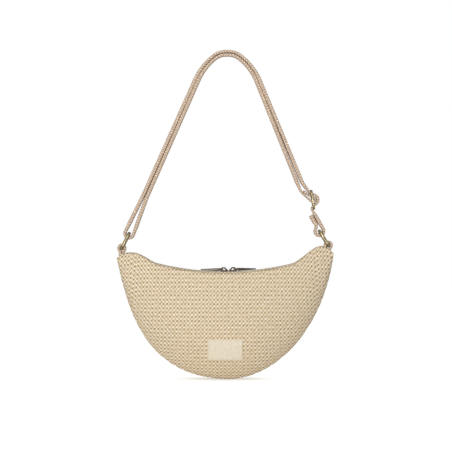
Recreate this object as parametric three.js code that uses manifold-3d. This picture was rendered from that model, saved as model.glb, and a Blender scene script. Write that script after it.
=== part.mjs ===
// Half-moon belt bag on a doubled webbing strap: woven shell, lining, two-slider zip, rings and adjuster.
// Millimetres, X to the right, Y away from the viewer, Z up; the bag faces -Y and hangs from its strap.
import * as THREE from "three";
import { mergeVertices } from "three/addons/utils/BufferGeometryUtils.js";
import Module from "manifold-3d";

const wasm = await Module();
wasm.setup();

// Bag outline in the front view, with z = 0 at the lowest point of the bag
const bagWidth = 290;
const mouthHeight = 142; // lowest point of the bag to the middle of the mouth
const zipRadius = 385; // the mouth sags along this arc
const mouthArcHalf = 86; // half-length of the stretch of the mouth that is a true arc
const leftTipRise = 21; // tips above the middle of the mouth
const rightTipRise = 26;
const shoulderLead = 22; // how far the mouth runs straight on before a shoulder
const leftShoulder = { reach: 31, rise: 15 };
const rightShoulder = { reach: 22, rise: 26 };
const bottomShift = 4.5; // lowest point from the middle
const leftSide = { drop: 46, inset: 11, reach: 124 };
const rightSide = { drop: 98, inset: 11, reach: 66 };

// Depth, from front to back
const mouthDepth = 62;
const tipDepth = 28;
const belly = 7; // how far each panel swells past the mouth
const seamRound = { power: 2.4, root: 0.6 }; // how a panel rounds off towards the seam
const bodyCentre = 110; // height of the point that the walls are thickened towards

// Fabric
const panelThickness = 2;
const liningThickness = 0.8;
const stripThickness = 1.6;
const stripSlot = 18; // width of the slot for the zip
const pullOverrun = 22; // the strip ends follow the arc this far, so that a pull can lie over them
const bindingWidth = 6; // from the seam, on each side
const bindingThickness = 0.8;
const label = { left: -22.6, right: 23.5, low: 26.7, high: 54.5, thickness: 0.8 };
const pocket = { left: -62, right: 62, low: 38, high: 112, thickness: 0.6 };
const pocketGap = 0.9; // the pocket hangs this far from the lining
const sewnGap = 0.3; // between pieces that are sewn or clamped together

// Zip
const zipHalf = 100; // half-length of the tapes
const stripHalf = 97; // half-length of the slot between the strip ends
const tapeWidth = 15;
const tapeThickness = 0.8;
const chainGap = 2; // between the two tapes and coils, for the sliders' posts
const coilWidth = 2.2;
const coilHeight = 2.4;
const stopLength = 3;
const stopPlace = 94; // middle of a stop along the mouth
const sliderMeet = 4.5; // where the two sliders meet, right of the middle
const sliderLength = 11;
const sliderWidth = 9.6;
const sliderWall = 1.2;
const sliderPlay = 0.4;
const postWidth = 1.1;
const postLength = 3;
const bailWidth = 3;
const bailWire = 1.4;
const bailEye = 1.2; // inner radius of the bail's round corner
const bailReach = 1.6; // pull axis from the slider's middle, outwards
const pullAxisHeight = 5.4; // pull axis above the underside of the strip
const pullLength = 30;
const pullWidth = 6;
const pullThickness = 1.4;
const pullTipWidth = 3;
const pullPlay = 0.5;
const pullRest = { left: 1.7, right: 1.4 }; // degrees that a pull lies below the mouth's tangent

// Webbing and metal
const webbingWidth = 25;
const webbingThickness = 4.8;
const tabThickness = 3.6;
const pinchedThickness = 2.2; // webbing where the adjuster nips it
const webbingGap = 0.6; // between two layers that lie together
const ringWire = 4;
const ringInside = 26.5; // inside width of a ring
const ringSpan = 22.2; // between the middles of a ring's two bars
const ringCorner = 3.4;
const ringPlay = 0.4; // between a ring bar and its tab
const leftRing = { inset: 7, rise: 33, lean: 26.5 }; // lower bar, from the tip and above the mouth's middle
const rightRing = { inset: 7, rise: 37.2, lean: 32 }; // lean in degrees from upright
const strapLoopPlay = 1.4; // slack between a ring bar and the strap's loop
const loopLegs = { left: 16, right: 14 }; // strap that belongs to a loop, past the ring bar
const sewnTail = 24; // sewn end of the strap above the right ring
const tailBend = 4.5; // radius of the bend that lays the sewn end on the strap
const tailLead = 0.6; // room between that bend and the loop round the ring

// Strap and adjuster
const crown = { x: 3, rise: 298.5, radius: 28 }; // top of the arch, above the mouth's middle
const crownFlat = 3; // flat stretch on top, where the strap hangs
const crownSide = { radius: 80, turn: 38 }; // wider arcs beside the crown, from this many degrees on
const crownLead = 0.05; // room between the crown's arc and a wider one
const strandMeet = 54; // above the left ring, where the two runs of strap come together
const leftBow = 1.6; // how far inwards the main run is drawn there
const strandBend = 40; // radius of the strap's slight bends
const rightBend = { left: 15.3, above: 26.4, lean: 23.5 }; // where the right run bends, from the adjuster
const rightSplit = 130; // above that bend, where the part of the right run that gives way ends
const adjuster = { left: 21, rise: 98, tilt: 9 }; // from the right ring's lower bar and the mouth's middle
const adjusterWire = 3;
const adjusterBar = 2.6;
const adjusterPitch = 12; // between neighbouring bars
const adjusterSlack = 7; // radius of the webbing's turn round the middle bar
const adjusterLead = 9; // webbing that belongs to the adjuster, past its outer bars
const sewnDrop = 17; // from the bend of the right run down to the sewn loop
const sewnLoopGap = 1.8; // between the strap and its sewn end

// Facets
const panelColumns = 26;
const panelRows = 10;
const rowCrowding = 0.6; // 0 spaces the rows evenly, 1 crowds them at the seam
const patchSteps = 4;
const stripColumns = 24;
const stripRows = 3;
const endColumns = 8;
const endRows = 6;
const chainColumns = 32;
const cornerSteps = 5;
const wireSides = 8;
const arcStep = Math.PI / 10;
const shortestStep = 0.05;
const smallestTurn = 0.001; // bends below this are straight
const mergeDistance = 1e-4;
const halvings = 40; // steps of the search for a height on a curve

const halfWidth = bagWidth / 2;
const arcCentre = mouthHeight + zipRadius;
const finishes = {
  straw: { color: 0xd9c9a3, roughness: 0.9 },
  lining: { color: 0xcdbf9f, roughness: 0.95 },
  tape: { color: 0x8a7358, roughness: 0.9 },
  coil: { color: 0x6f5b45, roughness: 0.6 },
  label: { color: 0xe9e0c8, roughness: 0.9 },
  webbing: { color: 0xcdb394, roughness: 0.9 },
  brass: { color: 0x9c8450, roughness: 0.35, metalness: 1 },
  gunmetal: { color: 0x4a403a, roughness: 0.4, metalness: 1 },
};

const part = new THREE.Group();
const assembly = new THREE.Group();
part.add(assembly);

function addMesh(name, geometry, finish, parent = assembly) {
  const mesh = new THREE.Mesh(geometry, new THREE.MeshStandardMaterial(finishes[finish]));
  mesh.name = name;
  parent.add(mesh);
  return mesh;
}

const lerp = THREE.MathUtils.lerp;
const radians = THREE.MathUtils.degToRad;

// Closed surfaces

// A geometry from corners and triangles, turned so that its faces point out
function closedGeometry(corners, triangles) {
  let volume = 0;
  for (const [a, b, c] of triangles) {
    volume += corners[a].dot(new THREE.Vector3().crossVectors(corners[b], corners[c]));
  }
  const order = volume < 0 ? ([a, b, c]) => [a, c, b] : (triangle) => triangle;
  const geometry = new THREE.BufferGeometry().setFromPoints(corners);
  geometry.setIndex(triangles.flatMap(order));
  geometry.computeVertexNormals();
  return geometry;
}

// A slab between two surfaces that are given over a grid of u and v from 0 to 1
function slab(columns, rows, outside, inside) {
  const corners = [];
  const triangles = [];
  const place = (side, i, j) => (side * (columns + 1) + i) * (rows + 1) + j;
  const quad = (a, b, c, d) => triangles.push([a, b, c], [a, c, d]);
  for (const surface of [outside, inside]) {
    for (let i = 0; i <= columns; i++) {
      for (let j = 0; j <= rows; j++) {
        corners.push(surface(i / columns, j / rows));
      }
    }
  }
  for (let i = 0; i < columns; i++) {
    for (let j = 0; j < rows; j++) {
      quad(place(0, i, j), place(0, i + 1, j), place(0, i + 1, j + 1), place(0, i, j + 1));
      quad(place(1, i, j), place(1, i, j + 1), place(1, i + 1, j + 1), place(1, i + 1, j));
    }
    quad(place(0, i, 0), place(1, i, 0), place(1, i + 1, 0), place(0, i + 1, 0));
    quad(place(0, i, rows), place(0, i + 1, rows), place(1, i + 1, rows), place(1, i, rows));
  }
  for (let j = 0; j < rows; j++) {
    quad(place(0, 0, j), place(0, 0, j + 1), place(1, 0, j + 1), place(1, 0, j));
    quad(place(0, columns, j), place(1, columns, j), place(1, columns, j + 1), place(0, columns, j + 1));
  }
  return closedGeometry(corners, triangles);
}

// A ring of round wire along a closed flat path of { point, out } stations, out lying in the path's plane
function wireRing(stations, normal, radius) {
  const corners = [];
  const triangles = [];
  const place = (i, j) => (i % stations.length) * wireSides + (j % wireSides);
  for (const { point, out } of stations) {
    for (let j = 0; j < wireSides; j++) {
      const turn = (2 * Math.PI * j) / wireSides;
      const corner = point.clone().addScaledVector(out, radius * Math.cos(turn));
      corners.push(corner.addScaledVector(normal, radius * Math.sin(turn)));
    }
  }
  for (let i = 0; i < stations.length; i++) {
    for (let j = 0; j < wireSides; j++) {
      triangles.push([place(i, j), place(i + 1, j), place(i + 1, j + 1)]);
      triangles.push([place(i, j), place(i + 1, j + 1), place(i, j + 1)]);
    }
  }
  return closedGeometry(corners, triangles);
}

// Stations of a rounded rectangle in the plane of Y and a direction up
function roundedFrame(halfAcross, halfUp, corner, up) {
  const across = new THREE.Vector3(0, 1, 0);
  const stations = [];
  for (let quarter = 0; quarter < 4; quarter++) {
    const right = quarter === 0 || quarter === 3 ? 1 : -1;
    const top = quarter < 2 ? 1 : -1;
    for (let step = 0; step <= cornerSteps; step++) {
      const turn = ((quarter + step / cornerSteps) * Math.PI) / 2;
      const out = across.clone().multiplyScalar(Math.cos(turn)).addScaledVector(up, Math.sin(turn));
      const point = across.clone().multiplyScalar(right * (halfAcross - corner));
      point.addScaledVector(up, top * (halfUp - corner)).addScaledVector(out, corner);
      stations.push({ point, out });
    }
  }
  return stations;
}

// Joining solids

function solidOf(geometry) {
  const bare = geometry.index ? geometry.toNonIndexed() : geometry.clone();
  bare.deleteAttribute("normal");
  bare.deleteAttribute("uv");
  const merged = mergeVertices(bare, mergeDistance);
  const vertProperties = new Float32Array(merged.attributes.position.array);
  const triVerts = new Uint32Array(merged.index.array);
  return new wasm.Manifold(new wasm.Mesh({ numProp: 3, vertProperties, triVerts }));
}

function joined(geometries) {
  const mesh = geometries.map(solidOf).reduce((all, one) => all.add(one)).getMesh();
  const geometry = new THREE.BufferGeometry();
  geometry.setAttribute("position", new THREE.BufferAttribute(new Float32Array(mesh.vertProperties), 3));
  geometry.setIndex(new THREE.BufferAttribute(new Uint32Array(mesh.triVerts), 1));
  geometry.computeVertexNormals();
  return geometry;
}

// Flat outlines in X and Z, given a width along Y

function plate(points, width) {
  const shape = new THREE.Shape(points.map((p) => new THREE.Vector2(p.x, p.y)));
  const geometry = new THREE.ExtrudeGeometry(shape, { depth: width, bevelEnabled: false });
  return geometry.translate(0, 0, -width / 2).rotateX(Math.PI / 2);
}

// Webbing of an even thickness along a path of points
function band(path, thickness) {
  const left = [];
  const right = [];
  path.forEach((point, i) => {
    const before = path[Math.max(i - 1, 0)];
    const after = path[Math.min(i + 1, path.length - 1)];
    const arriving = point.clone().sub(before).normalize();
    const leaving = after.clone().sub(point).normalize();
    const along = arriving.clone().add(leaving).normalize();
    const cosHalf = along.dot(i === 0 ? leaving : arriving);
    const side = new THREE.Vector2(-along.y, along.x).multiplyScalar(thickness / 2 / cosHalf);
    left.push(point.clone().add(side));
    right.push(point.clone().sub(side));
  });
  return plate([...right, ...left.reverse()], webbingWidth);
}

// A round bar that a band passes, turning +1 anticlockwise or -1 clockwise round it
function bar(place, radius, turn) {
  return { x: place.x, y: place.y, radius, turn };
}

// The straight stretch of a band between two bars
function straight(from, to) {
  const along = new THREE.Vector2(to.x - from.x, to.y - from.y);
  const distance = along.length();
  along.divideScalar(distance);
  const lift = (to.turn * to.radius - from.turn * from.radius) / distance;
  const normal = new THREE.Vector2(-along.y, along.x).multiplyScalar(Math.sqrt(1 - lift * lift));
  normal.addScaledVector(along, lift);
  const touch = (one) => new THREE.Vector2(one.x, one.y).addScaledVector(normal, -one.turn * one.radius);
  const direction = new THREE.Vector2(normal.y, -normal.x);
  return { start: touch(from), end: touch(to), direction, normal };
}

// The path of a band over bars in turn
function pathOverBars(bars) {
  const tangents = bars.slice(1).map((to, i) => straight(bars[i], to));
  const path = [tangents[0].start];
  tangents.forEach(({ end }, i) => {
    path.push(end);
    const { x, y, radius, turn } = bars[i + 1];
    const next = tangents[i + 1];
    if (!next) {
      return;
    }
    const first = Math.atan2(end.y - y, end.x - x);
    const last = Math.atan2(next.start.y - y, next.start.x - x);
    const turned = turn * (last - first) + smallestTurn;
    const sweep = THREE.MathUtils.euclideanModulo(turned, 2 * Math.PI) - smallestTurn;
    const steps = Math.max(1, Math.ceil(sweep / arcStep));
    for (let step = 1; step <= steps; step++) {
      const angle = first + (turn * sweep * step) / steps;
      path.push(new THREE.Vector2(x + radius * Math.cos(angle), y + radius * Math.sin(angle)));
    }
  });
  return path.filter((point, i) => i === 0 || point.distanceTo(path[i - 1]) > shortestStep);
}

// The stretch of a path between two distances from its start
function stretch(path, from, to) {
  const points = [];
  let travelled = 0;
  for (let i = 1; i < path.length; i++) {
    const length = path[i].distanceTo(path[i - 1]);
    const at = (distance) => path[i - 1].clone().lerp(path[i], (distance - travelled) / length);
    if (points.length === 0 && from < travelled + length) {
      points.push(at(from));
    }
    if (points.length > 0 && to <= travelled + length) {
      points.push(at(to));
      return points;
    }
    if (points.length > 0) {
      points.push(path[i].clone());
    }
    travelled += length;
  }
  return points;
}

// Distance along a path of its point nearest to a place
function distanceAlong(path, place) {
  let best = { gap: Infinity, distance: 0 };
  let travelled = 0;
  for (let i = 1; i < path.length; i++) {
    const line = path[i].clone().sub(path[i - 1]);
    const length = line.length();
    const share = THREE.MathUtils.clamp(place.clone().sub(path[i - 1]).dot(line) / (length * length), 0, 1);
    const gap = path[i - 1].clone().addScaledVector(line, share).distanceTo(place);
    if (gap < best.gap) {
      best = { gap, distance: travelled + share * length };
    }
    travelled += length;
  }
  return best.distance;
}

// Outline of the bag

function arcHeight(x) {
  return arcCentre - Math.sqrt(zipRadius * zipRadius - x * x);
}

function heightAt(curve, x) {
  let low = 0;
  let high = 1;
  const rising = curve.v3.x > curve.v0.x;
  for (let i = 0; i < halvings; i++) {
    const middle = (low + high) / 2;
    if (curve.getPoint(middle).x < x === rising) {
      low = middle;
    } else {
      high = middle;
    }
  }
  return curve.getPoint((low + high) / 2).y;
}

function shoulderCurve(sign, tipRise, shoulder) {
  const start = new THREE.Vector2(sign * mouthArcHalf, arcHeight(mouthArcHalf));
  const slope = mouthArcHalf / Math.sqrt(zipRadius * zipRadius - mouthArcHalf * mouthArcHalf);
  const lead = new THREE.Vector2(sign * shoulderLead, slope * shoulderLead).add(start);
  const tip = new THREE.Vector2(sign * halfWidth, mouthHeight + tipRise);
  const top = new THREE.Vector2(tip.x - sign * shoulder.reach, tip.y + shoulder.rise);
  return new THREE.CubicBezierCurve(start, lead, top, tip);
}

function sideCurve(sign, tipRise, side) {
  const tip = new THREE.Vector2(sign * halfWidth, mouthHeight + tipRise);
  const flank = new THREE.Vector2(tip.x - sign * side.inset, tip.y - side.drop);
  const bottom = new THREE.Vector2(bottomShift, 0);
  const floor = new THREE.Vector2(bottomShift + sign * side.reach, 0);
  return new THREE.CubicBezierCurve(tip, flank, floor, bottom);
}

const leftMouth = shoulderCurve(-1, leftTipRise, leftShoulder);
const rightMouth = shoulderCurve(1, rightTipRise, rightShoulder);
const leftSeam = sideCurve(-1, leftTipRise, leftSide);
const rightSeam = sideCurve(1, rightTipRise, rightSide);

function mouthEdge(x) {
  if (Math.abs(x) <= mouthArcHalf) {
    return arcHeight(x);
  }
  return heightAt(x < 0 ? leftMouth : rightMouth, x);
}

function seamHeight(x) {
  return heightAt(x < bottomShift ? leftSeam : rightSeam, x);
}

function halfMouth(x) {
  const share = 1 - (x / halfWidth) ** 2;
  return (tipDepth + (mouthDepth - tipDepth) * share) / 2;
}

// A point of the bag's skin at x, a share down the panel, moved in by an inset; side -1 is the front
function skinPoint(x, down, inset, side) {
  const swell = belly * (1 - (x / halfWidth) ** 2) * Math.sin(Math.PI * down);
  const depth = halfMouth(x) * (1 - down ** seamRound.power) ** seamRound.root + swell;
  const z = lerp(mouthEdge(x), seamHeight(x), down);
  const shrinkX = 1 - inset / halfWidth;
  const shrinkY = 1 - inset / (mouthDepth / 2 + belly);
  const shrinkZ = 1 - inset / bodyCentre;
  const y = side * Math.max(depth * shrinkY, sewnGap / 2);
  return new THREE.Vector3(x * shrinkX, y, bodyCentre + (z - bodyCentre) * shrinkZ);
}

// Columns close up towards the tips, and rows towards the seam
function columnPlace(share) {
  return -halfWidth * Math.cos(Math.PI * share);
}

function rowPlace(share) {
  return lerp(share, Math.sin((Math.PI / 2) * share), rowCrowding);
}

// A layer of one side of the bag, from a row below the mouth to the seam
function shell(side, outer, inner, firstRow) {
  const surface = (inset) => (u, v) => {
    return skinPoint(columnPlace(u), rowPlace(lerp(firstRow / panelRows, 1, v)), inset, side);
  };
  return slab(panelColumns, panelRows - firstRow, surface(outer), surface(inner));
}

// A patch that follows the skin between named edges
function patch(edges, side, outer, inner) {
  const surface = (inset) => (u, v) => {
    const x = lerp(edges.left, edges.right, u);
    const top = mouthEdge(x);
    const z = lerp(edges.high, edges.low, v);
    return skinPoint(x, (top - z) / (top - seamHeight(x)), inset, side);
  };
  return slab(patchSteps, patchSteps, surface(outer), surface(inner));
}

const liningInset = panelThickness + sewnGap;
const trimInset = liningInset + liningThickness + sewnGap;

addMesh("front_panel", shell(-1, 0, panelThickness, 0), "straw");
addMesh("back_panel", shell(1, 0, panelThickness, 0), "straw");
addMesh("front_lining", shell(-1, liningInset, liningInset + liningThickness, 1), "lining");
addMesh("back_lining", shell(1, liningInset, liningInset + liningThickness, 1), "lining");
addMesh("label", patch(label, -1, -sewnGap - label.thickness, -sewnGap), "label");
const pocketInset = liningInset + liningThickness + pocketGap;
addMesh("inner_pocket", patch(pocket, 1, pocketInset, pocketInset + pocket.thickness), "lining");

// Binding over the inside of the seam, lying on the last row of both linings
const bindingSkip = 2; // columns left free at each tip
const bindingColumns = panelColumns - 2 * bindingSkip;
function bindingSurface(inset) {
  return (u, v) => {
    const across = 2 * v - 1;
    const x = columnPlace((bindingSkip + u * bindingColumns) / panelColumns);
    const seam = skinPoint(x, 1, inset, 1).setY(0);
    const side = across < 0 ? -1 : 1;
    const row = skinPoint(x, rowPlace(1 - 1 / panelRows), inset, side);
    const reach = Math.min(1, bindingWidth / row.distanceTo(seam));
    return seam.lerp(row, Math.abs(across) * reach);
  };
}
const bindingOuterFace = bindingSurface(trimInset);
const bindingInnerFace = bindingSurface(trimInset + bindingThickness);
addMesh("seam_binding", slab(bindingColumns, 2, bindingOuterFace, bindingInnerFace), "lining");

// Top strip

function arcPoint(along, y, level) {
  const turn = along / zipRadius;
  const radius = zipRadius - level;
  return new THREE.Vector3(radius * Math.sin(turn), y, arcCentre - radius * Math.cos(turn));
}

// Half the width inside the panels at x, less the sewing gap
function halfInside(x) {
  const shrinkX = 1 - panelThickness / halfWidth;
  const shrinkY = 1 - panelThickness / (mouthDepth / 2 + belly);
  return halfMouth(Math.min(Math.abs(x) / shrinkX, halfWidth)) * shrinkY - sewnGap;
}

function stripHalfSlab(side) {
  const surface = (level) => (u, v) => {
    const inner = arcPoint(lerp(-stripHalf, stripHalf, u), (side * stripSlot) / 2, level);
    const outer = new THREE.Vector3(inner.x, side * halfInside(inner.x), mouthEdge(inner.x) + level);
    return inner.lerp(outer, v);
  };
  return slab(stripColumns, stripRows, surface(stripThickness), surface(0));
}

function stripEndSlab(side) {
  const start = stripHalf + sewnGap;
  const tip = halfWidth - panelThickness - sewnGap;
  const surface = (level) => (u, v) => {
    const x = lerp(start, tip, u);
    const across = 2 * v - 1;
    const edge = mouthEdge(side * x);
    const middle = lerp(arcHeight(x), edge, THREE.MathUtils.smoothstep(x, start + pullOverrun, tip));
    const z = lerp(middle, edge, across * across) + level + sewnGap / 2;
    return new THREE.Vector3(side * x, across * halfInside(x), z);
  };
  return slab(endColumns, endRows, surface(stripThickness), surface(0));
}

addMesh("top_strip_front", stripHalfSlab(-1), "straw");
addMesh("top_strip_back", stripHalfSlab(1), "straw");
addMesh("strip_end_left", stripEndSlab(-1), "straw");
addMesh("strip_end_right", stripEndSlab(1), "straw");

// Zip chain

function chainSlab(half, nearY, farY, low, high) {
  const surface = (level) => (u, v) => arcPoint(lerp(-half, half, u), lerp(nearY, farY, v), level);
  return slab(chainColumns, 1, surface(high), surface(low));
}

const tapeTop = -sewnGap;
const chainEdge = chainGap / 2;
const coilHalf = stopPlace - stopLength / 2 - sewnGap;
for (const [name, side] of [["front", -1], ["back", 1]]) {
  const tapeEdge = side * (chainEdge + tapeWidth);
  const tape = chainSlab(zipHalf, side * chainEdge, tapeEdge, tapeTop - tapeThickness, tapeTop);
  addMesh("zip_tape_" + name, tape, "tape");
  const coil = chainSlab(coilHalf, side * chainEdge, side * (chainEdge + coilWidth), 0, coilHeight);
  addMesh("zip_coil_" + name, coil, "coil");
}

// A group whose own origin lies on the mouth's arc, a distance along it
function onArc(along) {
  const turning = new THREE.Group();
  turning.position.set(0, 0, arcCentre);
  turning.rotation.y = -along / zipRadius;
  const seat = new THREE.Group();
  seat.position.set(0, 0, -zipRadius);
  turning.add(seat);
  assembly.add(turning);
  return seat;
}

function boxBetween(low, high) {
  const size = new THREE.Vector3().subVectors(high, low);
  const middle = new THREE.Vector3().addVectors(low, high).multiplyScalar(0.5);
  return new THREE.BoxGeometry(size.x, size.y, size.z).translate(middle.x, middle.y, middle.z);
}

function block(x0, x1, halfY, z0, z1) {
  return boxBetween(new THREE.Vector3(x0, -halfY, z0), new THREE.Vector3(x1, halfY, z1));
}

const chainWidth = chainEdge + coilWidth;
for (const [name, side] of [["left", -1], ["right", 1]]) {
  const stop = block(-stopLength / 2, stopLength / 2, chainWidth, 0, coilHeight);
  addMesh("zip_stop_" + name, stop, "gunmetal", onArc(side * stopPlace));
}

// Sliders and pulls, drawn with +X pointing outwards along the zip

const plateTop = coilHeight + sliderPlay + sliderWall;
const plateBottom = tapeTop - tapeThickness - sliderPlay;
const bailOuter = bailEye + bailWire;

function bail() {
  const centre = new THREE.Vector2(bailReach, pullAxisHeight);
  const nose = -sliderLength / 2;
  const foot = plateTop - sliderWall / 2;
  const points = [new THREE.Vector2(centre.x + bailOuter, foot)];
  const corner = (radius, turn) => {
    points.push(new THREE.Vector2(radius * Math.cos(turn), radius * Math.sin(turn)).add(centre));
  };
  for (let i = 0; i <= cornerSteps; i++) {
    corner(bailOuter, ((i / cornerSteps) * Math.PI) / 2);
  }
  const crest = centre.y + bailOuter;
  points.push(new THREE.Vector2(centre.x - bailOuter, crest));
  points.push(new THREE.Vector2(nose, foot));
  points.push(new THREE.Vector2(nose + 2 * bailWire, foot));
  points.push(new THREE.Vector2(centre.x - bailEye, crest - bailWire));
  for (let i = cornerSteps; i >= 0; i--) {
    corner(bailEye, ((i / cornerSteps) * Math.PI) / 2);
  }
  points.push(new THREE.Vector2(centre.x + bailEye, foot));
  return plate(points, bailWidth);
}

function slider() {
  const half = sliderLength / 2;
  const lipInner = chainWidth + sliderPlay;
  const lipLow = tapeTop + sliderPlay;
  const pieces = [
    block(-half, half, sliderWidth / 2, plateTop - sliderWall, plateTop),
    block(-half, half, sliderWidth / 2, plateBottom - sliderWall, plateBottom),
    block(-half, -half + postLength, postWidth / 2, plateBottom - sliderWall / 2, plateTop - sliderWall / 2),
    bail(),
  ];
  for (const side of [-1, 1]) {
    const low = new THREE.Vector3(-half, Math.min(side * lipInner, (side * sliderWidth) / 2), lipLow);
    const top = plateTop - sliderWall / 2;
    const high = new THREE.Vector3(half, Math.max(side * lipInner, (side * sliderWidth) / 2), top);
    pieces.push(boxBetween(low, high));
  }
  return joined(pieces);
}

// A pull with its eye round the bail, drawn from its axis outwards
function pull() {
  const half = pullWidth / 2;
  const tip = pullTipWidth / 2;
  const barBack = pullThickness / 2;
  const eyeEnd = bailOuter + pullPlay;
  const eyeHalf = bailWidth / 2 + pullPlay;
  const shape = new THREE.Shape([
    new THREE.Vector2(-barBack, -half),
    new THREE.Vector2(eyeEnd + 2 * bailWire, -half),
    new THREE.Vector2(pullLength - tip, -tip),
    new THREE.Vector2(pullLength, 0),
    new THREE.Vector2(pullLength - tip, tip),
    new THREE.Vector2(eyeEnd + 2 * bailWire, half),
    new THREE.Vector2(-barBack, half),
  ]);
  shape.holes.push(
    new THREE.Path([
      new THREE.Vector2(barBack, -eyeHalf),
      new THREE.Vector2(barBack, eyeHalf),
      new THREE.Vector2(eyeEnd, eyeHalf),
      new THREE.Vector2(eyeEnd, -eyeHalf),
    ]),
  );
  const geometry = new THREE.ExtrudeGeometry(shape, { depth: pullThickness, bevelEnabled: false });
  return geometry.translate(0, 0, -pullThickness / 2);
}

for (const [name, side] of [["left", -1], ["right", 1]]) {
  const seat = onArc(sliderMeet + side * (sliderLength / 2 + sewnGap));
  const outward = new THREE.Group();
  outward.rotation.z = side < 0 ? Math.PI : 0;
  seat.add(outward);
  addMesh("zip_slider_" + name, slider(), "gunmetal", outward);
  const hinge = addMesh("zip_pull_" + name, pull(), "gunmetal", outward);
  hinge.position.set(bailReach, 0, pullAxisHeight);
  hinge.rotation.y = radians(pullRest[name]);
}

// Rings and their tabs

function ringPlaces(ring, side) {
  const lower = new THREE.Vector2(side * (halfWidth - ring.inset), mouthHeight + ring.rise);
  const lean = radians(ring.lean);
  const up = new THREE.Vector2(-side * Math.sin(lean), Math.cos(lean));
  return { lower, up, upper: lower.clone().addScaledVector(up, ringSpan) };
}

const rings = { left: ringPlaces(leftRing, -1), right: ringPlaces(rightRing, 1) };
const tabRadius = ringWire / 2 + ringPlay + tabThickness / 2;

for (const name of ["left", "right"]) {
  const { lower, up } = rings[name];
  const up3 = new THREE.Vector3(up.x, 0, up.y);
  const normal = new THREE.Vector3(0, 1, 0).cross(up3);
  const halfAcross = (ringInside + ringWire) / 2;
  const stations = roundedFrame(halfAcross, ringSpan / 2, ringCorner, up3);
  const ring = wireRing(stations, normal, ringWire / 2);
  const middle = lower.clone().addScaledVector(up, ringSpan / 2);
  addMesh("ring_" + name, ring.translate(middle.x, 0, middle.y), "brass");

  // Each leg ends just above the strip, at the higher of its two faces
  const stripTop = (x) => mouthEdge(THREE.MathUtils.clamp(x, -halfWidth, halfWidth)) + stripThickness;
  const foot = (x) => {
    const faces = [x - tabThickness / 2, x + tabThickness / 2];
    return new THREE.Vector2(x, Math.max(...faces.map(stripTop)) + 2 * sewnGap);
  };
  const route = [
    bar(foot(lower.x + tabRadius), 0, 1),
    bar(lower, tabRadius, 1),
    bar(foot(lower.x - tabRadius), 0, 1),
  ];
  addMesh("tab_" + name, band(pathOverBars(route), tabThickness), "webbing");
}

// Adjuster

const adjusterPlace = new THREE.Vector2(rings.right.lower.x - adjuster.left, mouthHeight + adjuster.rise);
const adjusterDown = new THREE.Vector2(Math.sin(radians(adjuster.tilt)), -Math.cos(radians(adjuster.tilt)));
const topBar = adjusterPlace.clone().addScaledVector(adjusterDown, -adjusterPitch);
const bottomBar = adjusterPlace.clone().addScaledVector(adjusterDown, adjusterPitch);

function adjusterFrame() {
  const up = new THREE.Vector3(-adjusterDown.x, 0, -adjusterDown.y);
  const normal = new THREE.Vector3(0, 1, 0).cross(up);
  const halfAcross = (ringInside + adjusterWire) / 2;
  const stations = roundedFrame(halfAcross, adjusterPitch, adjusterWire, up);
  const frame = wireRing(stations, normal, adjusterWire / 2);
  const crossbar = new THREE.CylinderGeometry(adjusterBar / 2, adjusterBar / 2, 2 * halfAcross, wireSides);
  return joined([frame, crossbar]).translate(adjusterPlace.x, 0, adjusterPlace.y);
}
addMesh("adjuster_frame", adjusterFrame(), "brass");

// Strap

const loopRadius = ringWire / 2 + strapLoopPlay + webbingThickness / 2;
const barRadius = adjusterWire / 2 + sewnGap + pinchedThickness / 2;
const layerStep = webbingThickness + webbingGap;
const crownHeight = mouthHeight + crown.rise - crown.radius - webbingThickness / 2;
const crownLeft = new THREE.Vector2(crown.x - crownFlat / 2, crownHeight);
const crownRight = new THREE.Vector2(crown.x + crownFlat / 2, crownHeight);
const innerRadius = crown.radius - layerStep;
const sideReach = crownSide.radius - crown.radius + crownLead;
const sideAway = new THREE.Vector2(Math.sin(radians(crownSide.turn)), -Math.cos(radians(crownSide.turn)));
const sideLeft = crownLeft.clone().addScaledVector(sideAway, sideReach);
const sideRight = new THREE.Vector2(-sideAway.x, sideAway.y).multiplyScalar(sideReach).add(crownRight);

// Bars and bends of the main run, from the right ring up
const ringBarRight = bar(rings.right.upper, loopRadius, 1);
const ringBarLeft = bar(rings.left.upper, loopRadius, 1);
const bottomTurn = bar(bottomBar, barRadius, -1);
const middleTurn = bar(adjusterPlace, adjusterSlack, 1);
const topTurn = bar(topBar, barRadius, -1);
const outerRight = bar(crownRight, crown.radius, 1);
const outerLeft = bar(crownLeft, crown.radius, 1);
const outerSideRight = bar(sideRight, crownSide.radius, 1);
const outerSideLeft = bar(sideLeft, crownSide.radius, 1);
const bendOut = new THREE.Vector2(Math.cos(radians(rightBend.lean)), Math.sin(radians(rightBend.lean)));
const bendPlace = adjusterPlace.clone().add(new THREE.Vector2(-rightBend.left, rightBend.above));
const outerBend = bar(bendPlace.addScaledVector(bendOut, strandBend), strandBend, -1);

// The sewn end lies beside the run that goes up from the right ring
const standing = straight(ringBarRight, bottomTurn);
const tailEnd = standing.start.clone().addScaledVector(standing.direction, sewnTail);
tailEnd.addScaledVector(standing.normal, layerStep);
const tailReach = Math.sqrt((tailBend + loopRadius) ** 2 - (tailBend + layerStep - loopRadius) ** 2);
const tailTurn = standing.start.clone().addScaledVector(standing.direction, tailReach + tailLead);
const tailBar = bar(tailTurn.addScaledVector(standing.normal, layerStep + tailBend), tailBend, -1);

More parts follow.
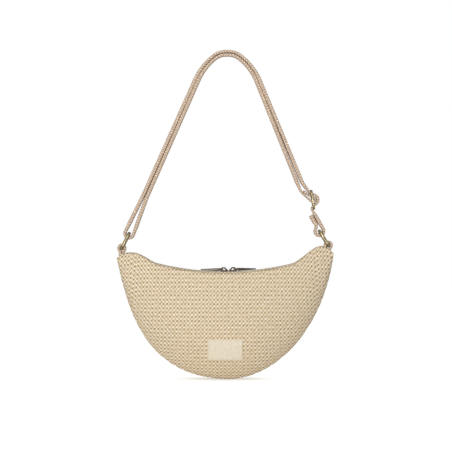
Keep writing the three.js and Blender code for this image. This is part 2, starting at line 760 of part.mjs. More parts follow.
// The two runs on the left part company above the ring
const chord = straight(outerSideLeft, ringBarLeft);
const meeting = chord.end.clone().addScaledVector(chord.direction, -strandMeet);
const leftBend = bar(meeting.addScaledVector(chord.normal, leftBow - strandBend), strandBend, -1);
const leftRun = straight(outerSideLeft, leftBend);
const innerMeeting = leftRun.end.clone().addScaledVector(leftRun.normal, layerStep + strandBend);
const innerBend = bar(innerMeeting, strandBend, -1);
const innerLeft = bar(crownLeft, innerRadius, -1);
const innerRight = bar(crownRight, innerRadius, -1);
const innerSideLeft = bar(sideLeft, crownSide.radius - layerStep, -1);
const innerSideRight = bar(sideRight, crownSide.radius - layerStep, -1);

// The sewn loop round the adjuster's middle bar: out along one leg and back along the other
const rightRun = straight(outerBend, outerSideRight);
const loopFoot = rightRun.start.clone().addScaledVector(rightRun.direction, -sewnDrop);
loopFoot.addScaledVector(rightRun.normal, layerStep);
const loopAway = loopFoot.clone().sub(adjusterPlace).normalize();
const loopSide = new THREE.Vector2(loopAway.y, -loopAway.x);
const legStep = pinchedThickness + sewnGap;
const firstLeg = bar(loopFoot, 0, 1);
const lastLeg = bar(loopFoot.clone().addScaledVector(loopSide, legStep), 0, 1);
const sewnTurn = bar(adjusterPlace, adjusterBar / 2 + sewnGap + pinchedThickness / 2, 1);
addMesh("adjuster_loop", band(pathOverBars([firstLeg, sewnTurn, lastLeg]), pinchedThickness), "webbing");

const upFromTop = straight(topTurn, outerBend);
const intoLoop = straight(ringBarLeft, innerBend);
const ontoRing = straight(leftBend, ringBarLeft);
const innerRightRun = straight(innerSideRight, firstLeg);
const strapPath = pathOverBars([
  bar(tailEnd, 0, 1),
  tailBar,
  ringBarRight,
  bottomTurn,
  middleTurn,
  topTurn,
  outerBend,
  outerSideRight,
  outerRight,
  outerLeft,
  outerSideLeft,
  leftBend,
  ringBarLeft,
  innerBend,
  innerSideLeft,
  innerLeft,
  innerRight,
  innerSideRight,
  firstLeg,
]);

// Places where the webbing is divided, each on its own run
const past = (place, direction, distance) => place.clone().addScaledVector(direction, distance);
const split = past(rightRun.start, rightRun.direction, rightSplit);
const innerSplit = past(split, rightRun.normal, layerStep);
const cuts = [
  past(standing.start, standing.direction, loopLegs.right),
  past(standing.end, standing.direction, -adjusterLead),
  past(upFromTop.start, upFromTop.direction, adjusterLead),
  split,
  past(ontoRing.end, ontoRing.direction, -loopLegs.left),
  past(intoLoop.start, intoLoop.direction, loopLegs.left),
  innerSplit,
].map((place) => distanceAlong(strapPath, place));
const strapEnd = distanceAlong(strapPath, innerRightRun.end) - sewnLoopGap;

function strapPiece(name, from, to, thickness) {
  const path = stretch(strapPath, from + sewnGap / 2, to - sewnGap / 2);
  addMesh(name, band(path, thickness), "webbing");
}
strapPiece("strap_loop_right", 0, cuts[0], webbingThickness);
strapPiece("strap_tail", cuts[0], cuts[1], webbingThickness);
strapPiece("adjuster_turn", cuts[1], cuts[2], pinchedThickness);
strapPiece("strap_right_outer", cuts[2], cuts[3], webbingThickness);
strapPiece("strap_outer", cuts[3], cuts[4], webbingThickness);
strapPiece("strap_loop_left", cuts[4], cuts[5], webbingThickness);
strapPiece("strap_inner", cuts[5], cuts[6], webbingThickness);
strapPiece("strap_right_inner", cuts[6], strapEnd, webbingThickness);

// The part's origin is under the crown of the strap, where the bag hangs
const hangHeight = crownHeight + innerRadius - webbingThickness / 2;
assembly.position.set(-crown.x, 0, -hangHeight);

export default part;
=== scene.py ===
# %% [markdown]
# A half-moon belt bag in coarse straw weave, hung by a doubled webbing strap.
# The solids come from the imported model, in metres, with the origin under the crown of the strap.
# They are plain, so this lesson dresses each of them: weave you can feel on the panels, twill on the
# webbing, wound nylon in the zip and round wire in the rings. Every dressed piece stays where its solid is.

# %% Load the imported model
import math
from collections import namedtuple
import bmesh
import bpy
import numpy as np
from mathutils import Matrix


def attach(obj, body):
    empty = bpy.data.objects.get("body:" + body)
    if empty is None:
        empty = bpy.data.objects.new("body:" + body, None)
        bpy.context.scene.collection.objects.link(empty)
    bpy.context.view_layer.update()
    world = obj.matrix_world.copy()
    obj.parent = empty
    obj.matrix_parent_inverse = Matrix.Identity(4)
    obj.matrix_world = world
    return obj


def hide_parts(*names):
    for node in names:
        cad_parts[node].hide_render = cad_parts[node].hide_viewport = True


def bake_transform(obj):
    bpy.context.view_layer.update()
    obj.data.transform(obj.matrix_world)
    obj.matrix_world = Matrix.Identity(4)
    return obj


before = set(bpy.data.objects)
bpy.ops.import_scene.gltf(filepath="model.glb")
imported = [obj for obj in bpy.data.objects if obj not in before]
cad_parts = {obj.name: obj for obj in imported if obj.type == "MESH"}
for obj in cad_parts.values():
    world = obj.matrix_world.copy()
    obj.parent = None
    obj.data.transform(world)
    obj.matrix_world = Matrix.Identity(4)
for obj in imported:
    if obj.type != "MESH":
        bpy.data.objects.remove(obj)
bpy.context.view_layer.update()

# %% [markdown]
# A maker thinks in millimetres from the lowest point of the bag, and Blender's file is in metres from the
# crown of the strap. One small function goes from the first to the second, so that all the shapes below
# can be written in the maker's numbers.

# %% Millimetres to metres
HANG_POINT = np.array([3.0, 0.0, 430.3])  # under the crown of the strap, from the bag's lowest point
MM = 0.001


def metres(points):
    return (np.asarray(points, float) - HANG_POINT) * MM


print("the bag's lowest point lies at", metres([0, 0, 0]).round(4).tolist())

# %% [markdown]
# Colours are written as sRGB hex values, the way a colour picker shows them, and one function turns them to
# the linear values that Blender's shaders use. A second small function adds a node to a material, with its
# settings and its links, because every material below is a short chain of nodes.


# %% Colours and nodes
def linear(code):
    channels = [int(code[i:i + 2], 16) / 255 for i in (1, 3, 5)]
    return [c / 12.92 if c <= 0.04045 else ((c + 0.055) / 1.055) ** 2.4 for c in channels] + [1.0]


def add_node(material, kind, settings=None, **links):
    """Settings are a node's properties, unlinked sockets or ramp stops; links are socket=output pairs."""
    node = material.node_tree.nodes.new("ShaderNode" + kind)
    for name, value in (settings or {}).items():
        if name == "stops":
            elements = node.color_ramp.elements
            while len(elements) < len(value):
                elements.new(1.0)
            for element, (place, code) in zip(elements, value):
                element.position = place
                element.color = linear(code)
        elif isinstance(name, int) or name in node.inputs:
            node.inputs[name].default_value = value
        else:
            setattr(node, name, value)
    for name, output in links.items():
        slot = int(name[1:]) if name[0] == "_" else name.replace("_", " ")
        material.node_tree.links.new(output, node.inputs[slot])
    return node


def new_material(name, **sockets):
    material = bpy.data.materials.new(name)
    material.use_nodes = True
    shader = material.node_tree.nodes["Principled BSDF"]
    for socket, value in sockets.items():
        shader.inputs[socket.replace("_", " ")].default_value = value
    return material, shader


def connect(material, output, socket):
    material.node_tree.links.new(output, socket)


print("cream in linear light:", [round(c, 3) for c in linear("#e6dabd")])

# %% [markdown]
# Most soft pieces here are sheets: a grid of points with a little thickness. A grid can be built face by
# face in bmesh, but with a hundred thousand points numpy is far quicker, so the points come as one array of
# rows and columns. The outside keeps the full grid and carries the relief of the weave. Nobody sees the
# inside, so it has every fourth point only, and the rim joins the two.


# %% Meshes from grids
def add_mesh(name, points, faces, material, weave=None):
    mesh = bpy.data.meshes.new(name)
    mesh.from_pydata(metres(points).tolist(), [], faces)
    mesh.shade_smooth()
    if weave is not None:
        attribute = mesh.attributes.new("weave", "FLOAT_VECTOR", "POINT")
        attribute.data.foreach_set("vector", np.asarray(weave, np.float32).ravel())
    mesh.materials.append(material)
    piece = bpy.data.objects.new(name, mesh)
    bpy.context.collection.objects.link(piece)
    return piece


def grid_faces(rows, columns, first=0, wrap=False):
    index = first + np.arange(rows * columns).reshape(rows, columns)
    if wrap:
        index = np.hstack([index, index[:, :1]])
    corners = [index[:-1, :-1], index[:-1, 1:], index[1:, 1:], index[1:, :-1]]
    return np.stack(corners, axis=-1).reshape(-1, 4).tolist()


def grid_normals(grid):
    down = np.gradient(grid, axis=0)
    across = np.gradient(grid, axis=1)
    normal = np.cross(across, down)
    length = np.linalg.norm(normal, axis=2, keepdims=True)
    return normal / np.maximum(length, 1e-9)


print("a grid of 3 by 4 points has", len(grid_faces(3, 4)), "faces")

# %% Sheets with a thickness
INSIDE_STEP = 4  # the inside has every fourth point


def sheet_mesh(name, grid, thickness, material, relief=None, weave=None, flip=False):
    """A closed sheet; its outside is the grid plus the relief along the grid's normals."""
    rows, columns, _ = grid.shape
    normals = grid_normals(grid) * (-1 if flip else 1)
    outside = grid if relief is None else grid + normals * relief[..., None]
    picked_rows = np.arange(0, rows, INSIDE_STEP)
    picked_columns = np.arange(0, columns, INSIDE_STEP)
    inside = (grid - normals * np.asarray(thickness)[..., None])[np.ix_(picked_rows, picked_columns)]
    few_rows, few_columns, _ = inside.shape
    points = np.vstack([outside.reshape(-1, 3), inside.reshape(-1, 3)])
    faces = grid_faces(rows, columns)
    inner_faces = grid_faces(few_rows, few_columns, rows * columns)
    faces += [face[::-1] for face in inner_faces]
    outer_index = np.arange(rows * columns).reshape(rows, columns)
    inner_index = rows * columns + np.arange(few_rows * few_columns).reshape(few_rows, few_columns)
    rims = [
        (outer_index[0], inner_index[0], 1),
        (outer_index[-1], inner_index[-1], -1),
        (outer_index[:, 0], inner_index[:, 0], -1),
        (outer_index[:, -1], inner_index[:, -1], 1),
    ]
    for outer, inner, turn in rims:
        for k in range(len(inner) - 1):
            run = outer[INSIDE_STEP * k:INSIDE_STEP * (k + 1) + 1].tolist()
            face = run[::-1] + [int(inner[k]), int(inner[k + 1])]
            faces.append(face[::turn])
    if flip:
        faces = [face[::-1] for face in faces]
    if weave is not None:
        picked = weave[np.ix_(picked_rows, picked_columns)]
        weave = np.vstack([weave.reshape(-1, 3), picked.reshape(-1, 3)])
    return add_mesh(name, points, faces, material, weave)


def whole_steps(length, spacing):
    """A number of points for a stretch, so that every fourth one falls on both ends."""
    return INSIDE_STEP * max(2, round(length / spacing / INSIDE_STEP)) + 1


print("a stretch of 100 mm at 0.9 mm has", whole_steps(100, 0.9), "points")

# %% [markdown]
# The outline of the bag: the mouth sags along an arc that the zip follows, a shoulder rises at each end, and
# the seam runs from tip to tip round the bottom. The panels belly out between the two. The same numbers
# shaped the solids, so the dressed panels land on them.

# %% Outline of the bag
HALF_WIDTH = 145.0
MOUTH_HEIGHT = 142.0
ZIP_RADIUS = 385.0
ARC_CENTRE = MOUTH_HEIGHT + ZIP_RADIUS
MOUTH_ARC_HALF = 86.0
SHOULDER_LEAD = 22.0
BOTTOM_SHIFT = 4.5
LEFT = {"tip": 21.0, "reach": 31.0, "rise": 15.0, "drop": 46.0, "inset": 11.0, "floor": 124.0}
RIGHT = {"tip": 26.0, "reach": 22.0, "rise": 26.0, "drop": 98.0, "inset": 11.0, "floor": 66.0}
MOUTH_DEPTH, TIP_DEPTH, BELLY = 62.0, 28.0, 7.0
SEAM_POWER, SEAM_ROOT = 2.4, 0.6  # how the skin closes towards the seam
BODY_CENTRE = 110.0
PANEL_THICKNESS = 2.0
SEWN_GAP = 0.3


def arc_height(x):
    return ARC_CENTRE - np.sqrt(ZIP_RADIUS**2 - np.asarray(x, float) ** 2)


def bezier(p0, p1, p2, p3):
    t = np.linspace(0, 1, 801)[:, None]
    p0, p1, p2, p3 = map(np.array, (p0, p1, p2, p3))
    return (1 - t) ** 3 * p0 + 3 * (1 - t) ** 2 * t * p1 + 3 * (1 - t) * t**2 * p2 + t**3 * p3


def tip_of(sign, end):
    return np.array([sign * HALF_WIDTH, MOUTH_HEIGHT + end["tip"]])


def shoulder_curve(sign, end):
    start = np.array([sign * MOUTH_ARC_HALF, float(arc_height(MOUTH_ARC_HALF))])
    slope = MOUTH_ARC_HALF / math.sqrt(ZIP_RADIUS**2 - MOUTH_ARC_HALF**2)
    lead = start + np.array([sign * SHOULDER_LEAD, slope * SHOULDER_LEAD])
    tip = tip_of(sign, end)
    return bezier(start, lead, tip + np.array([-sign * end["reach"], end["rise"]]), tip)


def seam_curve(sign, end):
    tip = tip_of(sign, end)
    flank = tip + np.array([-sign * end["inset"], -end["drop"]])
    floor = np.array([BOTTOM_SHIFT + sign * end["floor"], 0.0])
    return bezier(tip, flank, floor, np.array([BOTTOM_SHIFT, 0.0]))


mouth_line = np.vstack([shoulder_curve(-1, LEFT)[::-1], shoulder_curve(1, RIGHT)])
seam_line = np.vstack([seam_curve(-1, LEFT), seam_curve(1, RIGHT)[::-1]])
print("tips, mm:", tip_of(-1, LEFT).tolist(), tip_of(1, RIGHT).tolist())


# %% Skin of the bag
def mouth_edge(x):
    x = np.asarray(x, float)
    shoulder = np.interp(x, mouth_line[:, 0], mouth_line[:, 1])
    sagging = arc_height(np.clip(x, -MOUTH_ARC_HALF, MOUTH_ARC_HALF))
    return np.where(np.abs(x) <= MOUTH_ARC_HALF, sagging, shoulder)


def seam_height(x):
    return np.interp(x, seam_line[:, 0], seam_line[:, 1])


def half_mouth(x):
    return (TIP_DEPTH + (MOUTH_DEPTH - TIP_DEPTH) * (1 - (np.asarray(x) / HALF_WIDTH) ** 2)) / 2


def skin(x, down, inset, side):
    """Points of the bag's skin at x, a share down from the mouth to the seam; side -1 is the front."""
    x, down = np.broadcast_arrays(np.asarray(x, float), np.asarray(down, float))
    swell = BELLY * (1 - (x / HALF_WIDTH) ** 2) * np.sin(np.pi * down)
    depth = half_mouth(x) * np.maximum(1 - down**SEAM_POWER, 0) ** SEAM_ROOT + swell
    z = mouth_edge(x) + (seam_height(x) - mouth_edge(x)) * down
    y = side * np.maximum(depth * (1 - inset / (MOUTH_DEPTH / 2 + BELLY)), SEWN_GAP / 2)
    z = BODY_CENTRE + (z - BODY_CENTRE) * (1 - inset / BODY_CENTRE)
    return np.stack([x * (1 - inset / HALF_WIDTH), y, z], -1)


print("mouth at the tips and the middle, mm:", mouth_edge([-HALF_WIDTH, 0, HALF_WIDTH]).round(1).tolist())

# %% [markdown]
# The picture is a plain studio shot: the camera stands straight in front, level with the middle of bag and
# strap, and everything round them is white. The floor is a pale plane that still takes the bag's faint
# shadow near its foot, while farther out a painted glow washes the shadow white. White for the camera comes
# from the Light Path node, so the bag itself gets only plain light: an even sky, a small lamp low in front
# that brings out the weave, a large weak one from the upper left and a faint one from the right.

# %% Camera
CAMERA_DISTANCE = 4.0
CAMERA_X, CAMERA_HEIGHT = 1.3, 204.9
PICTURE_WIDTH = 0.6045  # what the square picture spans at the bag
camera_data = bpy.data.cameras.new("camera")
camera_data.sensor_width = 36
camera_data.lens = camera_data.sensor_width * CAMERA_DISTANCE / PICTURE_WIDTH
camera = bpy.data.objects.new("camera", camera_data)
camera.location = metres([CAMERA_X, -CAMERA_DISTANCE / MM, CAMERA_HEIGHT])
camera.rotation_euler = (math.pi / 2, 0, 0)
bpy.context.collection.objects.link(camera)
bpy.context.scene.camera = camera
bpy.context.scene.view_settings.view_transform = "Standard"
print("lens, mm:", round(camera_data.lens, 1))


# %% Sky
def seen_share(material):
    """1 for rays from the camera, from gloss and through glass, 0 for the light that falls on the bag."""
    rays = add_node(material, "LightPath").outputs
    share = rays["Is Camera Ray"]
    for kind in ("Is Glossy Ray", "Is Transmission Ray"):
        share = add_node(material, "Math", {"operation": "MAXIMUM"}, _0=share, _1=rays[kind]).outputs[0]
    return share


SKY_LIGHT = 0.5
world = bpy.data.worlds.new("white studio")
world.use_nodes = True
bpy.context.scene.world = world
sky = world.node_tree.nodes["Background"]
sky.inputs["Color"].default_value = linear("#ffffff")
strength = add_node(world, "MapRange", {"To Min": SKY_LIGHT, "To Max": 1.0}, Value=seen_share(world))
connect(world, strength.outputs["Result"], sky.inputs["Strength"])
print("sky of", SKY_LIGHT, "on the bag")

# %% Lamps and floor
LAMP_TARGET = np.array([0.0, 0.0, -0.3])  # in the upper half of the bag, in metres


def add_lamp(name, place, size, watts):
    data = bpy.data.lights.new(name, "AREA")
    data.size = size
    data.energy = watts
    lamp = bpy.data.objects.new(name, data)
    lamp.location = place
    aim = LAMP_TARGET - np.array(place)
    pitch = math.atan2(math.hypot(aim[0], aim[1]), -aim[2])
    lamp.rotation_euler = (pitch, 0, math.atan2(aim[1], aim[0]) - math.pi / 2)
    bpy.context.collection.objects.link(lamp)


add_lamp("key_lamp", (-0.9, -1.6, 0.9), 1.2, 3.5)
add_lamp("fill_lamp", (1.4, -1.3, 0.2), 1.0, 0.8)
add_lamp("low_lamp", (-0.5, -2.2, -0.3), 0.3, 25)

FLOOR_HALF = 6000.0
FOOT_SHADOW_GLOW, PAINTED_WASH_GLOW = 0.34, 0.62
SHADOW_FROM, SHADOW_TO = 0.03, 0.075  # metres from the bag's foot
BAG_FOOT = metres([-2, 0, 0])
white, shader = new_material("white studio floor", Base_Color=linear("#f4f4f4"), Roughness=1.0,
                             Specular_IOR_Level=0.0, Emission_Color=linear("#ffffff"))
# It glows where the camera or a shiny surface looks at it: lower near the foot, so that the real contact
# shadow shows, and higher farther out, a painted light that washes the rest of the bag's shadow white
foot = add_node(white, "VectorMath", {"operation": "DISTANCE", 1: BAG_FOOT},
                _0=add_node(white, "TexCoord").outputs["Object"])
sweep = add_node(white, "MapRange", {"From Min": SHADOW_FROM, "From Max": SHADOW_TO, "To Min": FOOT_SHADOW_GLOW,
                                     "To Max": PAINTED_WASH_GLOW}, Value=foot.outputs["Value"])
glow = add_node(white, "Math", {"operation": "MULTIPLY"}, _0=seen_share(white), _1=sweep.outputs["Result"])
connect(white, glow.outputs[0], shader.inputs["Emission Strength"])
floor_corners = [[x * FLOOR_HALF, y * FLOOR_HALF, 0] for x, y in ((-1, -1), (1, -1), (1, 1), (-1, 1))]
floor = add_mesh("floor", floor_corners, [[0, 1, 2, 3]], white)
print("3 lamps and a floor at", round(float(metres([0, 0, 0])[2]), 4), "m")

# %% [markdown]
# The shell is paper straw: flat strands of twisted paper, woven loosely as a basket weave. Where a strand
# comes to the front it shows its own cream; where it dives it is painted ochre, and a small hole between
# four strands is painted dark, both painted shade in the depths of the weave. One repeat is 4.85 mm across
# and 5.7 mm down, and the columns spread a little towards the bottom. A bump map would give the shading, but
# not the knobbly edge, so the weave is true relief, a wave over the grid of points. Each point also stores
# its tone with that painted shade, and the material colours the straw by it. Paper is matt with a faint
# gloss.

# %% Paper straw
WEAVE_ACROSS, WEAVE_DOWN = 4.85, 5.7
WEAVE_FAN = 0.00078  # the columns of straw spread by this share for each mm down
WEAVE_RELIEF = 0.45
# The diving strands are painted darker than the straw's cream: painted shade between the strands
TROUGH_SHADE_TONE = 0.4  # how far up the scale of tones the diving strands are
CROSS_TONE = 0.15  # how much darker the strands of one of the two directions are
PATCHINESS = 0.3  # share of the tone that varies from strand to strand


def weave_height(u, v):
    """From -1 in the holes to 1 on the strands that come to the front."""
    a, b = 2 * np.pi * u / WEAVE_ACROSS, 2 * np.pi * v / WEAVE_DOWN
    return 0.25 - 0.3 * np.cos(a) - 0.25 * np.cos(b) - 0.7 * np.cos(a) * np.cos(b)


def shaded_weave_tone(u, v):
    """Tone with painted shade: 0 in a hole, a darker trough tone where a strand dives and 1 where it comes to
    the front.
    """
    a, b = 2 * np.pi * u / WEAVE_ACROSS, 2 * np.pi * v / WEAVE_DOWN
    cream = np.clip(0.5 - 0.7 * np.cos(a) * np.cos(b), 0, 1)
    hole = ((1 + np.cos(a)) * (1 + np.cos(b)) / 4) ** 2
    crossing = (1 - np.cos(a)) * (1 + np.cos(b)) / 4
    return TROUGH_SHADE_TONE + (1 - TROUGH_SHADE_TONE) * cream - TROUGH_SHADE_TONE * hole - CROSS_TONE * crossing


straw, shader = new_material("paper straw, basket woven", Roughness=0.72, Specular_IOR_Level=0.3)
weave_node = add_node(straw, "Attribute", {"attribute_name": "weave"})
parts = add_node(straw, "SeparateXYZ", Vector=weave_node.outputs["Vector"])
# Neighbouring strands differ in tone, in patches of about 3 mm
strand = add_node(straw, "TexNoise", {"noise_dimensions": "2D", "Scale": 0.33, "Detail": 2.0},
                  Vector=weave_node.outputs["Vector"])
tone = add_node(straw, "MapRange", {"From Min": 0.25, "From Max": 0.75, "To Min": -PATCHINESS / 2,
                                    "To Max": PATCHINESS / 2}, Value=strand.outputs[0])
height = add_node(straw, "Math", {"operation": "ADD"}, _0=parts.outputs["Z"], _1=tone.outputs[0])
# The dark and ochre stops are painted shade in the holes and where strands dive; the cream is the straw
# itself
straw_tones_with_shade = [(0.0, "#7a7056"), (0.2, "#9f8c67"), (0.4, "#c7a97a"), (0.7, "#d9cab0"), (1.0, "#f3e9db")]
colour = add_node(straw, "ValToRGB", {"stops": straw_tones_with_shade}, Fac=height.outputs[0])
connect(straw, colour.outputs["Color"], shader.inputs["Base Color"])
# Fibres of the paper, really 0.1 mm apart and drawn at about 0.5 mm so that they show
fibre = add_node(straw, "TexNoise", {"noise_dimensions": "2D", "Scale": 2.0, "Detail": 3.0},
                 Vector=weave_node.outputs["Vector"])
bump = add_node(straw, "Bump", {"Strength": 0.35, "Distance": 0.2 * MM}, Height=fibre.outputs[0])
connect(straw, bump.outputs[0], shader.inputs["Normal"])
print("straw: cream, ochre and dark gaps over a repeat of", WEAVE_ACROSS, "by", WEAVE_DOWN, "mm")

# %% [markdown]
# A panel is cut as a half moon and sewn to its twin, so it is made as one sheet. Each column of points starts
# inside the mouth, rolls over its folded edge, runs down the skin and ends in the seam, where the panel is
# pulled in to a crease. The points at each tip are pulled into a small circle, because thick cloth can't be
# turned to a sharp corner. The straw runs level across the panel, so the weave is measured along each
# column from one level line.

# %% Shape of a panel
PANEL_SPACING, ROW_SPACING = 0.8, 0.9  # between points across and down
PANEL_DROP = 170.0  # down the longest column, about
EDGE_ROLL = 0.8  # half the thickness of the folded edge
EDGE_WALL = 2.2  # how far the fold reaches down inside
FOLD_FADE = 12.0  # the fold thins out where the panel is less high than this
TIP_ROUND = 4.0


def unit(vectors):
    return vectors / np.linalg.norm(vectors, axis=-1, keepdims=True)


def distances(line):
    """How far along a line each of its points lies."""
    return np.concatenate([[0], np.cumsum(np.linalg.norm(np.diff(line, axis=0), axis=1))])


def even_shares(side):
    """Shares down the middle column that are evenly far apart along the skin."""
    fine = np.linspace(0, 1, 2001)
    length = distances(skin(np.zeros_like(fine), fine, 0, side))
    return lambda count: np.interp(np.linspace(0, length[-1], count), length, fine)


def round_tips(grid):
    """Pulls the points at each tip into a circle that touches the mouth and the seam there."""
    for sign, end in ((-1, LEFT), (1, RIGHT)):
        mouth = np.array([-sign * end["reach"], end["rise"]])
        seam = np.array([-sign * end["inset"], -end["drop"]])
        middle = unit(mouth) + unit(seam)
        cosine = np.linalg.norm(middle) / 2  # of half the angle at the tip
        sine = math.sqrt(1 - cosine**2)
        middle = unit(middle)
        centre = tip_of(sign, end) + middle * TIP_ROUND / sine
        offset = grid[..., [0, 2]] - centre
        away = np.maximum(np.linalg.norm(offset, axis=2), 1e-9)
        outside = (away > TIP_ROUND) & (-(offset @ middle) > sine * away)
        pulled = centre + offset * (TIP_ROUND / away)[..., None]
        grid[..., [0, 2]] = np.where(outside[..., None], pulled, grid[..., [0, 2]])
    return grid


def panel_grid(side):
    share = np.linspace(0, 1, whole_steps(2 * HALF_WIDTH, PANEL_SPACING))
    x = HALF_WIDTH * ((2 * share - 1) - np.cos(np.pi * share)) / 2
    top, drop = mouth_edge(x), mouth_edge(x) - seam_height(x)
    room = np.clip(drop / FOLD_FADE, 0, 1)
    roll, wall = EDGE_ROLL * room, EDGE_WALL * room
    depth = half_mouth(x)
    rows = [np.stack([x, side * (depth - 2 * roll), top - roll - wall], -1)]
    for turn in np.linspace(np.pi, 0, 6):
        y = depth - roll + roll * np.cos(turn)
        rows.append(np.stack([x, side * y, top - roll + roll * np.sin(turn)], -1))
    start = np.where(drop > 1e-6, roll / np.maximum(drop, 1e-6), 0)
    count = whole_steps(PANEL_DROP, ROW_SPACING) - len(rows)
    for down in even_shares(side)(count + 1)[1:]:
        rows.append(skin(x, start + (1 - start) * down, 0, side))
    return round_tips(np.stack(rows))


print("a panel has", panel_grid(-1).shape[:2], "rows and columns of points")


# %% Cloth on the bag
def along_rows(grid):
    steps = np.linalg.norm(np.diff(grid, axis=0), axis=2)
    return np.vstack([np.zeros((1, grid.shape[1])), np.cumsum(steps, axis=0)])


def straw_weave(u, v):
    return weave_height(u, v), np.stack([u, v, shaded_weave_tone(u, v)], -1)


def dress(piece, body, node):
    """Lets a piece ride on its body, in place of its solid."""
    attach(piece, body)
    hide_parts(node)
    return piece


def cloth_piece(name, node, material, grid, thickness, relief, weave, outward):
    """A sheet of cloth on the bag; outward is the side that shows."""
    middle = grid_normals(grid)[grid.shape[0] // 2, grid.shape[1] // 2]
    flip = float(middle @ np.array(outward)) < 0
    piece = dress(sheet_mesh(name, grid, thickness, material, relief, weave, flip), "bag", node)


print("weave from", weave_height(0, 0).round(2), "in a hole to", weave_height(WEAVE_ACROSS / 2, 0).round(2))

# %% Panels
LEVEL_LINE = 90.0  # height from which the rows of straw are counted
FOLD_ROWS, FOLD_THICKNESS = 7, 0.5
FOLD_RELIEF, FOLD_REACH = 0.25, 6.0  # share of the relief left on the fold, and where it is whole again
STRAW_CLOTH = 1.6  # thickness of the cloth without its relief
SEAM_CREASE, CREASE_REACH = 1.1, 1.3
TIP_THIN, TIP_REACH = 0.05, 25.0  # least share of thickness at the tips, for columns shorter than the reach


def make_panel(name, node, side):
    grid = panel_grid(side)
    length = along_rows(grid)
    level = []
    for heights, column in zip(grid[..., 2].T, length.T):
        if heights[-1] < LEVEL_LINE:
            level.append(np.interp(-LEVEL_LINE, -heights[FOLD_ROWS:], column[FOLD_ROWS:]))
        else:
            level.append(column[-1] + heights[-1] - LEVEL_LINE)
    u = grid[..., 0] / (1 + WEAVE_FAN * (LEVEL_LINE - grid[..., 2]))
    height, weave = straw_weave(u, np.array(level) - length)
    crease = SEAM_CREASE * np.exp((length - length[-1]) / CREASE_REACH)
    thin = np.clip(length[-1] / TIP_REACH, TIP_THIN, 1) ** 2
    relief = thin * (WEAVE_RELIEF * height * np.clip(length / FOLD_REACH, FOLD_RELIEF, 1) - crease)
    row = np.arange(len(grid))[:, None]
    thickness = np.where(row < FOLD_ROWS, FOLD_THICKNESS, STRAW_CLOTH) * thin
    cloth_piece(name, node, straw, grid, thickness, relief, weave, (0, side, 0))


make_panel("straw_panel_front", "front_panel", -1)
make_panel("straw_panel_back", "back_panel", 1)

# %% [markdown]
# The mouth is closed by a top strip of the same straw. It lies in two halves beside the zip, each with a
# folded edge along the slot, and a strip end fills each tip. They are sheets again, shaped by the arc of
# the zip on one side and by the panel's edge on the other.

# %% Top strip
STRIP_HALF, STRIP_SLOT, STRIP_TOP = 97.0, 18.0, 1.6
STRIP_SPACING, STRIP_WIDTH, END_WIDTH = 0.8, 20.0, 42.0
STRIP_CLOTH = 1.2
FOLD_WIDTH, FOLD_DROP = 1.3, 1.1
STRIP_FADE, STRIP_RELIEF = 4.0, (0.1, 0.7)  # where the weave is whole again, least and most share of relief
END_GAP = 0.2
PULL_OVERRUN = 22.0  # the strip end stays flat here, so that a pull can pass over it
TIP_TUCK, TUCK_REACH = 2.2, 7.0  # the strip end dips into the tip, over its last stretch


def arc_points(along, y, level):
    turn, radius = np.asarray(along) / ZIP_RADIUS, ZIP_RADIUS - level
    x, z = radius * np.sin(turn), ARC_CENTRE - radius * np.cos(turn)
    return np.stack(np.broadcast_arrays(x, y, z), -1)


def half_inside(x):
    shrink_x = 1 - PANEL_THICKNESS / HALF_WIDTH
    shrink_y = 1 - PANEL_THICKNESS / (MOUTH_DEPTH / 2 + BELLY)
    return half_mouth(np.minimum(np.abs(x) / shrink_x, HALF_WIDTH)) * shrink_y - SEWN_GAP


def straw_strip(name, node, grid):
    length = along_rows(grid)
    height, weave = straw_weave(grid[..., 0], length)
    edge = np.minimum(length, length[-1] - length)
    fold = FOLD_DROP * np.clip(1 - edge / FOLD_WIDTH, 0, 1) ** 2
    relief = WEAVE_RELIEF * height * np.clip(edge / STRIP_FADE, *STRIP_RELIEF) - fold
    cloth_piece(name, node, straw, grid, STRIP_CLOTH, relief, weave, (0, 0, 1))


def strip_half(name, node, side):
    along = np.linspace(-STRIP_HALF, STRIP_HALF, whole_steps(2 * STRIP_HALF, STRIP_SPACING))
    share = np.linspace(0, 1, whole_steps(STRIP_WIDTH, STRIP_SPACING))[:, None, None]
    inner = arc_points(along, side * STRIP_SLOT / 2, STRIP_TOP)
    x = inner[:, 0]
    outer = np.stack([x, side * half_inside(x), mouth_edge(x) + STRIP_TOP], -1)
    straw_strip(name, node, inner + share * (outer - inner))


def strip_end(name, node, side):
    start = float(arc_points(STRIP_HALF, 0, STRIP_TOP)[0]) + END_GAP
    tip = HALF_WIDTH - PANEL_THICKNESS - SEWN_GAP
    x = np.linspace(start, tip, whole_steps(tip - start, STRIP_SPACING))
    across = np.linspace(-1, 1, whole_steps(END_WIDTH, STRIP_SPACING))[:, None]
    edge = mouth_edge(side * x)
    ease = np.clip((x - start - PULL_OVERRUN) / (tip - start - PULL_OVERRUN), 0, 1)
    middle = arc_height(x) + (edge - arc_height(x)) * ease**2 * (3 - 2 * ease)
    tuck = TIP_TUCK * np.clip(1 - (tip - x) / TUCK_REACH, 0, 1) ** 2
    z = middle + (edge - middle) * across**2 + STRIP_TOP + SEWN_GAP / 2 - tuck
    grid = np.stack(np.broadcast_arrays(side * x, across * half_inside(x), z), -1)
    straw_strip(name, node, grid)


strip_half("straw_strip_front", "top_strip_front", -1)
strip_half("straw_strip_back", "top_strip_back", 1)
strip_end("straw_strip_end_left", "strip_end_left", -1)
strip_end("straw_strip_end_right", "strip_end_right", 1)

# %% [markdown]
# Inside are a cotton lining for each panel, a slip pocket on the back one and a binding over the raw seam.
# Cotton is a plain weave of threads 0.4 mm apart, dull and soft. At that size relief is not worth its
# points, so a fine wave in the bump is enough, drawn at 1 mm. The lining hangs a little slack, in shallow
# waves.

# %% Lining cotton
COTTON_THREAD = 1.0  # mm for one thread over and under, really 0.8


